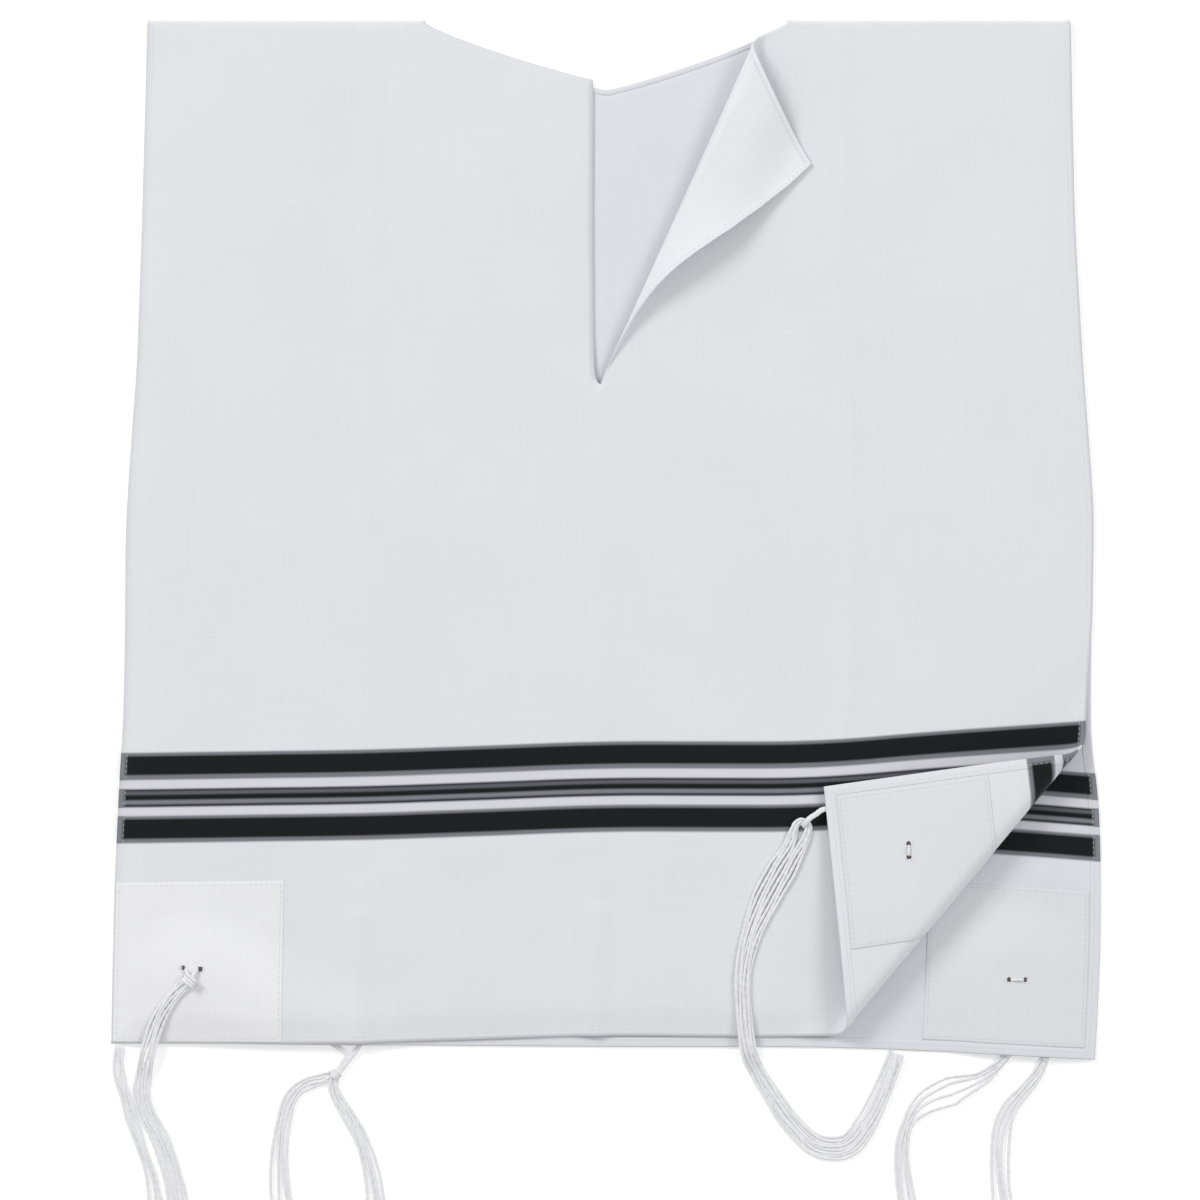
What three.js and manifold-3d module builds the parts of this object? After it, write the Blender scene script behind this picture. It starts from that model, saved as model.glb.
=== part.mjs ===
// Tallit katan: a four-cornered undergarment of white wool with woven black and gray stripes,
// lying flat on its back. One length of cloth runs from the front hem over the shoulders to the
// back hem, with a neck hole and a front slit. The slit's right edge is turned back as a lapel
// and the front right corner is turned up over the front. A tassel hangs from each corner.
//
// Frame: millimetres, X across the garment, Y from the hems to the shoulders, Z up. The origin
// lies on the surface under the middle of the back panel.

import * as THREE from 'three';
import { mergeVertices } from 'three/addons/utils/BufferGeometryUtils.js';
import Module from 'manifold-3d';

// Cloth
const WALL = 1.2;
const HEM_WIDTH = 5;
const HEM_STEP = 0.5;
const HEM_EXTRA = 0.7;
const SEAM_GAP = 0.3;
const CLOTH_WIDTH = 500;
const HALF_WALL = WALL / 2;
const BACK_MID = HALF_WALL;
const FRONT_MID = 3.6;

// Length of a panel along the cloth, from its hem to the shoulder fold, and the fold's own bend
const HEM_Y = -260;
const SHOULDER_START = 258.4;
const SHOULDER_ROLL = (FRONT_MID - BACK_MID) / 2;
const SHOULDER_STEPS = 5;

// How the panels lie: x of both side edges at a height v up the cloth
const FRONT_SIDES = [
  { v: 0, left: -252.5, right: 248 },
  { v: 40, left: -251.8, right: 246.5 },
  { v: 83, left: -250.8, right: 245 },
  { v: 138, left: -248.2, right: 242 },
  { v: 165, left: -246.4, right: 243.5 },
  { v: 200, left: -245.6, right: 246.2 },
  { v: 260, left: -245.2, right: 247 },
  { v: 297, left: -243, right: 244.6 },
  { v: 345, left: -239.4, right: 241.2 },
  { v: 420, left: -236.8, right: 237.2 },
  { v: 520, left: -234, right: 235 },
];
const BACK_SIDES = [
  { v: 0, left: -251.2, right: 247.4 },
  { v: 24, left: -250.8, right: 248.9 },
  { v: 64, left: -250.2, right: 250.4 },
  { v: 105, left: -249.2, right: 250.4 },
  { v: 138, left: -247.6, right: 249.2 },
  { v: 165, left: -245.8, right: 245.4 },
  { v: 200, left: -245, right: 245.4 },
  { v: 260, left: -244.6, right: 246.4 },
  { v: 345, left: -238.8, right: 240.6 },
  { v: 420, left: -236.2, right: 236.6 },
  { v: 520, left: -234, right: 235 },
];

// How far each hem stands above a straight one, at a distance u across the cloth
const FRONT_HEM_RISE = [
  { u: 0, rise: 0 },
  { u: 121, rise: 0 },
  { u: 215, rise: 3 },
  { u: 249, rise: 4.3 },
  { u: 297, rise: 3.5 },
  { u: 368, rise: 3 },
  { u: 500, rise: 15 },
];
const BACK_HEM_RISE = [
  { u: 0, rise: 0.5 },
  { u: 121, rise: -0.6 },
  { u: 250, rise: -1.6 },
  { u: 368, rise: -1.8 },
  { u: 448, rise: -5.2 },
  { u: 500, rise: -8.2 },
];
const SKEW_FULL = 150;
const SKEW_GONE = 420;
const BACK_SKEW_GAIN = 0.45;

// Neck hole, drawn on the cloth, and the slit down the front
const NECK_CENTRE = 248.5;
const NECK_HALF = 98;
const NECK_TOP = SHOULDER_START - HEM_Y;
const FRONT_NECK_DEPTH = 29.8;
const BACK_NECK_DEPTH = 36;
const NECK_ROUNDNESS = 1.15;
const NECK_STEPS = [1, 0.8, 0.6, 0.4, 0.2];
const SLIT_LEFT = 241.4;
const SLIT_BOTTOM = { u: 245.3, v: 334 };
const SLIT_LEFT_FOOT = 350;
const SLIT_RIGHT = 253.4;

// The slit's right edge is cut hollow, as stretches between rows of the cloth
const SLIT_HOLLOW = [
  { u: 249.3, v: 345 },
  { u: 258.7, v: 380 },
  { u: 259.2, v: 420 },
  { u: 255.2, v: 460 },
];

// Lapel: the slit's right edge rolled back about lines that meet at the slit's bottom
const LAPEL_BEARING = THREE.MathUtils.degToRad(26);
const LAPEL_TAPER = 0.0314;
const LAPEL_TIGHTEST = 0.85;
const LAPEL_RESTS = WALL + SEAM_GAP;
const LAPEL_SETTLES = 48;
const LAPEL_WIDEST = 100;
const LAPEL_STEPS = 6;
const LAPEL_REST_STEPS = [9, 12.5, 16, 20];

// Turned-up corner: the fold's outermost line from the hem to the side edge
const FOLD_HEM_END = { x: 116.1, y: -257 };
const FOLD_SIDE_END = { x: 240.2, y: -108.4 };
const FOLD_ROLL = 6;
const FOLD_STEPS = 6;
const FLAP_RESTS = WALL + 2.4;
const FLAP_SETTLES = 80;
const FLAP_STEPS = [12, 28, 46, 64, 82];

// Extra columns and rows that let the panels follow the heights below
const CORNER_COLUMNS = [45, 455];
const BACK_COLUMNS = [100];
const FRONT_ROWS = [380, 460];

// Ironed creases, peaks of low ridges
const CREASES = [125, 249, 375];
const CREASE_HALF = 7;
const CREASE_HEIGHT = 0.5;
const CREASE_HEIGHT_LOW = 1.1;
const CREASE_LOW_TO = 110;
const MIDDLE_CREASE_TO = 280;
const MIDDLE_CREASE_FADES = 40;

// Both panels rise over the parts of the back tassels that lie under them
const CORD_RISE = 3.6;
const CORD_RISES = [
  { from: { x: -210, y: -228 }, to: { x: -131, y: -264 }, flat: 4, slope: 22 },
  { from: { x: 208, y: -227.5 }, to: { x: 213, y: -272 }, flat: 12, slope: 20 },
];

// Corner patches and the two eyelets in each corner
const PATCH_WALL = 1;
const PATCH_NEAR = HALF_WALL + SEAM_GAP;
const PATCH_FAR = PATCH_NEAR + PATCH_WALL;
const PATCH_TOP = 83;
const PATCH_LEFT = 87;
const PATCH_RIGHT = 417;
const BACK_PATCH_TOP = 87;
const BACK_PATCH_RIGHT = 412;
const PATCH_FOLD_START = 2;
const EYELET_RADIUS = 1.7;
const EYELET_SIDES = 8;
const EYELETS = {
  front_left: [{ x: -215.8, y: -221.4 }, { x: -206.9, y: -221.9 }],
  front_right: [{ x: 152.2, y: -157.5 }, { x: 152.2, y: -166.2 }],
  back_left: [{ x: -214.3, y: -229.5 }, { x: -205.7, y: -229.5 }],
  back_right: [{ x: 203.6, y: -227.5 }, { x: 212.2, y: -227.5 }],
};
const UNDER_ALL = -1;
const UNDER_FLAP = 9;
const OVER_FLAP = 24;
const OVER_ALL = 12;

// Strings, each four-sided, and the loop they hang from
const STRING_REACH = 0.85;
const STRING_ROOM = 1.9;
const STRING_CLEAR = 0.5;
const STRING_LIFT = 2 * STRING_REACH + 0.3;
const STEPS_A_ROW = 1.5;
const END_SPREAD = 0.25;
const UNEVENNESS = 0.4;
const LOOP_RADIUS = 0.75;
const LOOP_HALF = 0.6;
const LOOP_INSET = 3.55;
const LOOP_OVER = SEAM_GAP + LOOP_HALF + 0.1;
const LOOP_UNDER = 1.4;
const CORD_HALF = 1.5;
const CORD_HIGH = 0.8;
const CORD_LIES = 1.8;
const FRONT_TOP = FRONT_MID + HALF_WALL;
const PATCH_LIES = FRONT_MID + PATCH_FAR;

// The four tassels: knots, wrapped cords, and fans of strings given by the width they take up
// and the height they lie on at points along their middle line
const TASSELS = [
  {
    name: 'tassel_front_left',
    eyelets: EYELETS.front_left,
    knots: [{ x: -212, y: -227.6, z: 11.4, across: 4.6, along: 3, high: 2 }],
    cords: [],
    fans: [{
      count: 8,
      rows: [
        { x: -212, y: -227.5, width: 6.8, lies: PATCH_LIES },
        { x: -222, y: -237, width: 8, lies: PATCH_LIES },
        { x: -230, y: -249.5, width: 11, lies: PATCH_LIES },
        { x: -236.8, y: -266, width: 16, lies: PATCH_LIES },
        { x: -239.8, y: -280, width: 19, lies: 0 },
        { x: -238, y: -292, width: 14, lies: 0 },
        { x: -231, y: -307, width: 8, lies: 0 },
        { x: -222.5, y: -327, width: 8.5, lies: 0 },
        { x: -219, y: -354, width: 13, lies: 0 },
        { x: -223, y: -386, width: 19, lies: 0 },
        { x: -229, y: -424, width: 28, lies: 0 },
      ],
    }],
  },
  {
    name: 'tassel_back_left',
    eyelets: EYELETS.back_left,
    knots: [
      { x: -210, y: -229.5, z: CORD_LIES, across: 5, along: 3.2, high: CORD_HALF },
      { x: -131.5, y: -266.6, z: 2.3, across: 3.9, along: 3.5, high: 2 },
      { x: -138.5, y: -275.6, z: CORD_LIES, across: 2.9, along: 2.9, high: CORD_HALF },
    ],
    cords: [[
      { x: -209, y: -230 },
      { x: -200, y: -235.5 },
      { x: -180, y: -244.5 },
      { x: -158, y: -253 },
      { x: -140, y: -260.5 },
      { x: -132, y: -266 },
      { x: -134.5, y: -271.5 },
      { x: -138.5, y: -275.6 },
    ]],
    fans: [
      {
        count: 4,
        rows: [
          { x: -138.8, y: -275.4, width: 3.2, lies: 0 },
          { x: -146, y: -278.4, width: 4.6, lies: 0 },
          { x: -153.5, y: -280.6, width: 5.5, lies: 0 },
          { x: -160, y: -286, width: 5.5, lies: 0 },
          { x: -164.4, y: -296, width: 6, lies: 0 },
          { x: -167, y: -315, width: 7.5, lies: 0 },
          { x: -165.5, y: -342, width: 10, lies: 0 },
          { x: -160, y: -368, width: 12, lies: 0 },
          { x: -157, y: -396, width: 17, lies: 0 },
        ],
      },
      {
        count: 4,
        rows: [
          { x: -138.6, y: -276, width: 3.2, lies: 0 },
          { x: -139.4, y: -283, width: 3.8, lies: 0 },
          { x: -136.8, y: -290, width: 5, lies: 0 },
          { x: -131, y: -298.5, width: 6, lies: 0 },
          { x: -124.5, y: -312, width: 6, lies: 0 },
          { x: -118.5, y: -336, width: 8, lies: 0 },
          { x: -117, y: -364, width: 11, lies: 0 },
          { x: -121, y: -400, width: 16, lies: 0 },
        ],
      },
    ],
  },
  {
    name: 'tassel_front_right',
    eyelets: EYELETS.front_right,
    knots: [
      { x: 149.4, y: -161, z: 9.8, across: 3.4, along: 4.2, high: 1.7 },
      { x: 99.6, y: -145.6, z: 6.5, across: 4.5, along: 3.1, high: 1.9 },
    ],
    cords: [[
      { x: 149, y: -160, z: 9.8 },
      { x: 141, y: -156, z: 8.8 },
      { x: 128, y: -149.5, z: 7 },
      { x: 112, y: -141, z: 5.5 },
      { x: 100, y: -145.5, z: 6.3 },
    ]],
    fans: [{
      count: 8,
      ends: [0.78, 0.84, 0.8, 0.86, 0.82, 0.99, 1, 0.985],
      rows: [
        { x: 99.3, y: -146, width: 6.8, lies: FRONT_TOP },
        { x: 95, y: -157, width: 10.5, lies: FRONT_TOP },
        { x: 88.5, y: -171, width: 13.5, lies: FRONT_TOP },
        { x: 80, y: -187, width: 13, lies: FRONT_TOP },
        { x: 72.8, y: -204, width: 9, lies: FRONT_TOP },
        { x: 69.2, y: -221, width: 7, lies: FRONT_TOP },
        { x: 68.6, y: -239, width: 6.8, lies: FRONT_TOP },
        { x: 71, y: -262, width: 6.8, lies: FRONT_TOP },
        { x: 76.4, y: -275, width: 7, lies: 0 },
        { x: 83.5, y: -287, width: 8, lies: 0 },
        { x: 93, y: -300, width: 9, lies: 0 },
        { x: 106, y: -312, width: 10.5, lies: 0 },
        { x: 121, y: -312.5, width: 11, lies: 0 },
        { x: 131, y: -301, width: 10.5, lies: 0 },
        { x: 137.5, y: -286.5, width: 9.5, lies: 0 },
        { x: 146.5, y: -268, width: 8, lies: 0 },
      ],
    }],
  },
  {
    name: 'tassel_back_right',
    eyelets: EYELETS.back_right,
    knots: [
      { x: 207.9, y: -228.5, z: CORD_LIES, across: 5, along: 3.4, high: CORD_HALF },
      { x: 222.4, y: -266.5, z: CORD_LIES, across: 2.6, along: 2.9, high: CORD_HALF },
      { x: 203.9, y: -265, z: CORD_LIES, across: 2.6, along: 2.9, high: CORD_HALF },
    ],
    cords: [
      [
        { x: 208.2, y: -229 },
        { x: 213.5, y: -242 },
        { x: 219, y: -254 },
        { x: 222.4, y: -266.5 },
      ],
      [
        { x: 207.6, y: -229 },
        { x: 205, y: -242 },
        { x: 204.5, y: -254 },
        { x: 203.9, y: -265 },
      ],
    ],
    fans: [
      {
        count: 4,
        rows: [
          { x: 222.6, y: -266, width: 3, lies: 0 },
          { x: 219, y: -275, width: 4.2, lies: 0 },
          { x: 211.6, y: -284, width: 5.5, lies: 0 },
          { x: 203.8, y: -294, width: 7.5, lies: 0 },
          { x: 199.4, y: -309, width: 8.5, lies: 0 },
          { x: 200, y: -334, width: 8.5, lies: 0 },
          { x: 206, y: -362, width: 11, lies: 0 },
          { x: 209, y: -398, width: 17, lies: 0 },
        ],
      },
      {
        count: 4,
        rows: [
          { x: 204.2, y: -264.5, width: 3, lies: 0 },
          { x: 197.8, y: -272, width: 3.4, lies: 0 },
          { x: 188.5, y: -278.5, width: 7, lies: 0 },
          { x: 174.5, y: -283.5, width: 14.5, lies: 0 },
          { x: 161, y: -290, width: 10, lies: 0 },
          { x: 152.5, y: -301, width: 5, lies: 0 },
          { x: 149.5, y: -318, width: 6, lies: 0 },
          { x: 152.5, y: -345, width: 9, lies: 0 },
          { x: 160, y: -384, width: 15, lies: 0 },
        ],
      },
    ],
  },
];

const CLOTH_COLOUR = 0xdfe0e4;
const PATCH_COLOUR = 0xe6e6e8;
const STRING_COLOUR = 0xe9e9ec;
const TINY = 1e-6;
const SAME_POINT = 0.004;
const SEARCH_CELL = 0.05;

const manifold = await Module();
manifold.setup();

// ---------------------------------------------------------------- tables and small sums

const smooth = (t) => {
  const part = Math.min(1, Math.max(0, t));
  return part * part * (3 - 2 * part);
};

// Straight lines between the rows of a table
function read(rows, key, column, at) {
  const last = rows.length - 1;
  if (at <= rows[0][key]) return rows[0][column];
  if (at >= rows[last][key]) return rows[last][column];
  const i = rows.findIndex((row) => row[key] > at);
  const part = (at - rows[i - 1][key]) / (rows[i][key] - rows[i - 1][key]);
  return rows[i - 1][column] + part * (rows[i][column] - rows[i - 1][column]);
}

// Full up to SKEW_FULL, gone by SKEW_GONE
const skewLeft = (v) => 1 - smooth((v - SKEW_FULL) / (SKEW_GONE - SKEW_FULL));

function layFront({ u, v }) {
  const left = read(FRONT_SIDES, 'v', 'left', v);
  const right = read(FRONT_SIDES, 'v', 'right', v);
  const x = left + (right - left) * u / CLOTH_WIDTH;
  return { u, v, x, y: HEM_Y + v + read(FRONT_HEM_RISE, 'u', 'rise', u) * skewLeft(v) };
}

function layBack({ u, v }) {
  const left = read(BACK_SIDES, 'v', 'left', v);
  const right = read(BACK_SIDES, 'v', 'right', v);
  const x = left + (right - left) * u / CLOTH_WIDTH;
  const gain = 1 + BACK_SKEW_GAIN * Math.min(1, v / SKEW_FULL);
  return { u, v, x, y: HEM_Y + v + read(BACK_HEM_RISE, 'u', 'rise', u) * gain * skewLeft(v) };
}

// ---------------------------------------------------------------- flat polygons

const centre = (polygon) => ({
  x: polygon.reduce((sum, p) => sum + (p.x ?? 0), 0) / polygon.length,
  y: polygon.reduce((sum, p) => sum + (p.y ?? 0), 0) / polygon.length,
  u: polygon.reduce((sum, p) => sum + p.u, 0) / polygon.length,
  v: polygon.reduce((sum, p) => sum + p.v, 0) / polygon.length,
});

function between(a, b, part) {
  const mix = (key) => (a[key] === undefined ? undefined : a[key] + (b[key] - a[key]) * part);
  return { u: mix('u'), v: mix('v'), x: mix('x'), y: mix('y') };
}

// A grid of four-sided polygons on the cloth
function gridOf(columns, rows) {
  const polygons = [];
  for (let i = 0; i + 1 < columns.length; i += 1) {
    for (let j = 0; j + 1 < rows.length; j += 1) {
      polygons.push([
        { u: columns[i], v: rows[j] },
        { u: columns[i + 1], v: rows[j] },
        { u: columns[i + 1], v: rows[j + 1] },
        { u: columns[i], v: rows[j + 1] },
      ]);
    }
  }
  return polygons;
}

// Divides each polygon that a straight line crosses, where the line counts
function divide(polygons, distance, counts) {
  return polygons.flatMap((polygon) => {
    const far = polygon.map(distance);
    const crosses = Math.min(...far) < -TINY && Math.max(...far) > TINY;
    if (!crosses || !counts(polygon)) return [polygon];
    const above = [];
    const below = [];
    polygon.forEach((corner, i) => {
      const j = (i + 1) % polygon.length;
      if (far[i] >= -TINY) above.push(corner);
      if (far[i] <= TINY) below.push(corner);
      if (Math.abs(far[i]) > TINY && Math.abs(far[j]) > TINY && far[i] * far[j] < 0) {
        const met = between(corner, polygon[j], far[i] / (far[i] - far[j]));
        above.push(met);
        below.push(met);
      }
    });
    return [above, below].filter((part) => part.length > 2);
  });
}

// Cuts away the cloth above a line of straight stretches, each the width of its own columns
function cutAbove(polygons, stretches) {
  return stretches.reduce((kept, { from, to }) => {
    const slope = (to.v - from.v) / (to.u - from.u);
    const above = (p) => p.v - from.v - slope * (p.u - from.u);
    const inColumn = (polygon) => {
      const { u } = centre(polygon);
      return u > from.u && u < to.u;
    };
    const parts = divide(kept, above, inColumn);
    return parts.filter((polygon) => !inColumn(polygon) || above(centre(polygon)) < 0);
  }, polygons);
}

// Cuts away the cloth left of a line of straight stretches, each the height of its own rows
function cutBeside(polygons, line, leftmost) {
  return line.slice(1).reduce((kept, to, i) => {
    const from = line[i];
    const slope = (to.u - from.u) / (to.v - from.v);
    const beside = (p) => p.u - from.u - slope * (p.v - from.v);
    const inRow = (polygon) => {
      const { u, v } = centre(polygon);
      return u > leftmost && v > from.v && v < to.v;
    };
    const parts = divide(kept, beside, inRow);
    return parts.filter((polygon) => !inRow(polygon) || beside(centre(polygon)) > 0);
  }, polygons);
}

// One number for each different corner of all the polygons, and the polygons as those numbers.
// A corner that lies along another polygon's side is added to that side.
function numberCorners(polygons) {
  const corners = [];
  const cells = new Map();
  const find = (p) => {
    const column = Math.floor(p.x / SEARCH_CELL);
    const row = Math.floor(p.y / SEARCH_CELL);
    for (let i = column - 1; i <= column + 1; i += 1) {
      for (let j = row - 1; j <= row + 1; j += 1) {
        const found = (cells.get(`${i},${j}`) ?? []).find(
          (n) => Math.hypot(corners[n].x - p.x, corners[n].y - p.y) < SAME_POINT);
        if (found !== undefined) return found;
      }
    }
    const key = `${column},${row}`;
    cells.set(key, [...(cells.get(key) ?? []), corners.length]);
    corners.push(p);
    return corners.length - 1;
  };
  const loops = polygons
    .map((polygon) => polygon.map(find).filter((n, i, all) => n !== all[(i + 1) % all.length]))
    .filter((loop) => loop.length > 2);
  const onSide = (a, b) => {
    const dx = b.x - a.x;
    const dy = b.y - a.y;
    const length = Math.hypot(dx, dy);
    return corners
      .map((p, n) => ({ n, along: ((p.x - a.x) * dx + (p.y - a.y) * dy) / length,
        off: Math.abs((p.x - a.x) * dy - (p.y - a.y) * dx) / length }))
      .filter(({ off }) => off < SAME_POINT)
      .filter(({ along }) => along > SAME_POINT && along < length - SAME_POINT)
      .sort((p, q) => p.along - q.along)
      .map(({ n }) => n);
  };
  return {
    corners,
    loops: loops.map((loop) => loop.flatMap((n, i) => [
      n, ...onSide(corners[n], corners[loop[(i + 1) % loop.length]])])),
  };
}

// Triangles of one convex polygon whose sides may hold extra corners
function triangles(loop, corners) {
  const area = (a, b, c) => ((corners[b].x - corners[a].x) * (corners[c].y - corners[a].y)
    - (corners[c].x - corners[a].x) * (corners[b].y - corners[a].y)) / 2;
  const left = [...loop];
  const found = [];
  const whole = (list) => list.slice(1, -1).reduce(
    (sum, b, i) => sum + area(list[0], b, list[i + 2]), 0);
  while (left.length > 3) {
    let best = -1;
    let bestShape = 0;
    left.forEach((b, i) => {
      const a = left[(i + left.length - 1) % left.length];
      const c = left[(i + 1) % left.length];
      const size = area(a, b, c);
      const rest = left.filter((_, k) => k !== i);
      const span = Math.hypot(corners[a].x - corners[c].x, corners[a].y - corners[c].y);
      const shape = size / (span * span + size);
      if (size > TINY && whole(rest) > TINY && shape > bestShape) {
        best = i;
        bestShape = shape;
      }
    });
    if (best < 0) throw new Error('a polygon could not be divided into triangles');
    found.push([left[(best + left.length - 1) % left.length], left[best],
      left[(best + 1) % left.length]]);
    left.splice(best, 1);
  }
  found.push(left);
  return found;
}

// A wall of cloth: every flat corner gets a point on the lower and one on the upper side
function wall(polygons, lower, upper) {
  const { corners, loops } = numberCorners(polygons);
  const faces = loops.flatMap((loop) => triangles(loop, corners));
  const points = [...corners.map(lower), ...corners.map(upper)];
  const up = corners.length;
  const edges = new Map();
  faces.forEach(([a, b, c]) => {
    [[a, b], [b, c], [c, a]].forEach(([from, to]) => edges.set(`${from},${to}`, [from, to]));
  });
  const rim = [...edges.values()].filter(([from, to]) => !edges.has(`${to},${from}`));
  const index = [
    ...faces.flatMap(([a, b, c]) => [c, b, a]),
    ...faces.flatMap(([a, b, c]) => [a + up, b + up, c + up]),
    ...rim.flatMap(([from, to]) => [from, to, to + up, from, to + up, from + up]),
  ];
  return { points, index };
}

// ---------------------------------------------------------------- solids

const toManifold = ({ points, index }) => new manifold.Manifold(new manifold.Mesh({
  numProp: 3,
  vertProperties: Float32Array.from(points.flat()),
  triVerts: Uint32Array.from(index),
}));

function fromGeometry(geometry) {
  const plain = geometry.index ? geometry.toNonIndexed() : geometry.clone();
  plain.deleteAttribute('normal');
  plain.deleteAttribute('uv');
  const merged = mergeVertices(plain, 1e-4);
  const position = merged.getAttribute('position');
  const points = Array.from({ length: position.count }, (_, i) => [
    position.getX(i), position.getY(i), position.getZ(i)]);
  const index = [];
  for (let i = 0; i < merged.index.count; i += 3) {
    const [a, b, c] = [0, 1, 2].map((k) => merged.index.getX(i + k));
    if (a !== b && b !== c && c !== a) index.push(a, b, c);
  }
  return toManifold({ points, index });
}

const group = new THREE.Group();
group.name = 'tallit_katan';

function addPiece(name, solid, colour, roughness) {
  const mesh = solid.getMesh();
  const geometry = new THREE.BufferGeometry();
  const stride = mesh.numProp;
  const positions = new Float32Array(mesh.numVert * 3);
  for (let i = 0; i < mesh.numVert; i += 1) {
    for (let k = 0; k < 3; k += 1) positions[3 * i + k] = mesh.vertProperties[stride * i + k];
  }
  geometry.setAttribute('position', new THREE.BufferAttribute(positions, 3));
  geometry.setIndex(new THREE.BufferAttribute(Uint32Array.from(mesh.triVerts), 1));
  geometry.computeVertexNormals();
  const material = new THREE.MeshStandardMaterial({ color: colour, roughness, metalness: 0 });
  const piece = new THREE.Mesh(geometry, material);
  piece.name = name;
  group.add(piece);
}

// Round cutters through the eyelets, between two heights
function punch(solid, eyelets, from, to) {
  return eyelets.reduce((rest, { x, y }) => {
    const cutter = new THREE.CylinderGeometry(EYELET_RADIUS, EYELET_RADIUS, to - from,
      EYELET_SIDES);
    cutter.rotateX(Math.PI / 2);
    cutter.translate(x, y, (from + to) / 2);
    return rest.subtract(fromGeometry(cutter));
  }, solid);
}

// ---------------------------------------------------------------- heights of the cloth

// Height of the rise over a buried cord: level near its line, then a smooth slope
function riseAt(x, y) {
  return CORD_RISES.reduce((most, { from, to, flat, slope }) => {
    const dx = to.x - from.x;
    const dy = to.y - from.y;
    const part = ((x - from.x) * dx + (y - from.y) * dy) / (dx * dx + dy * dy);
    const held = Math.min(1, Math.max(0, part));
    const away = Math.hypot(x - from.x - held * dx, y - from.y - held * dy);
    return Math.max(most, CORD_RISE * (1 - smooth((away - flat) / slope)));
  }, 0);
}

// Lines along and across a buried cord, where the rise bends
function divideOverCords(polygons) {
  return CORD_RISES.reduce((kept, { from, to, flat, slope }) => {
    const length = Math.hypot(to.x - from.x, to.y - from.y);
    const ahead = { x: (to.x - from.x) / length, y: (to.y - from.y) / length };
    const reach = flat + slope;
    const counts = (polygon) => {
      const xs = polygon.map((p) => p.x);
      const ys = polygon.map((p) => p.y);
      return Math.max(...xs) > Math.min(from.x, to.x) - reach
        && Math.min(...xs) < Math.max(from.x, to.x) + reach
        && Math.min(...ys) < from.y + reach;
    };
    const offsets = [0, 1, 2, 3].map((step) => flat + slope * step / 3);
    const across = (p) => (p.x - from.x) * ahead.y - (p.y - from.y) * ahead.x;
    const along = (p) => (p.x - from.x) * ahead.x + (p.y - from.y) * ahead.y;
    const lines = [
      ...offsets.flatMap((offset) => [(p) => across(p) - offset, (p) => across(p) + offset]),
      ...offsets.map((offset) => (p) => along(p) + offset),
      along,
    ];
    return lines.reduce((parts, line) => divide(parts, line, counts), kept);
  }, polygons);
}

// What the turned hem adds on the inner face
function hemAt({ u, v }) {
  const inward = Math.min(u, CLOTH_WIDTH - u, v);
  return inward > HEM_WIDTH + HEM_STEP / 2 ? 0 : HEM_EXTRA;
}

function creaseAt({ u, v }) {
  const height = v < CREASE_LOW_TO ? CREASE_HEIGHT_LOW : CREASE_HEIGHT;
  return CREASES.reduce((most, peak) => {
    const past = peak === CREASES[1] ? (v - MIDDLE_CREASE_TO) / MIDDLE_CREASE_FADES : 0;
    return Math.max(most, height * (1 - smooth(past)) * (1 - Math.abs(u - peak) / CREASE_HALF));
  }, 0);
}

function backPoint(p, offset) {
  return [p.x, p.y, BACK_MID + offset + riseAt(p.x, p.y)];
}

const slitBottom = layFront(SLIT_BOTTOM);
const foldLength = Math.hypot(FOLD_SIDE_END.x - FOLD_HEM_END.x, FOLD_SIDE_END.y - FOLD_HEM_END.y);
const foldOut = {
  x: (FOLD_SIDE_END.y - FOLD_HEM_END.y) / foldLength,
  y: -(FOLD_SIDE_END.x - FOLD_HEM_END.x) / foldLength,
};

// Distance past the line where the corner starts to roll up
const pastFold = (p) => (p.x - FOLD_HEM_END.x) * foldOut.x + (p.y - FOLD_HEM_END.y) * foldOut.y
  + FOLD_ROLL;

// A point a distance past the start of a roll: how far out, and how high, it comes to lie
function rolled(distance, radius, offset, rests, settles, power) {
  const turn = distance / radius;
  if (turn < Math.PI) {
    return {
      out: (radius - offset) * Math.sin(turn),
      up: radius - (radius - offset) * Math.cos(turn),
    };
  }
  const back = distance - Math.PI * radius;
  const drop = (2 * radius - rests) * smooth(back / settles) ** power;
  return { out: -back, up: 2 * radius - offset - Math.max(0, drop) };
}

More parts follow.
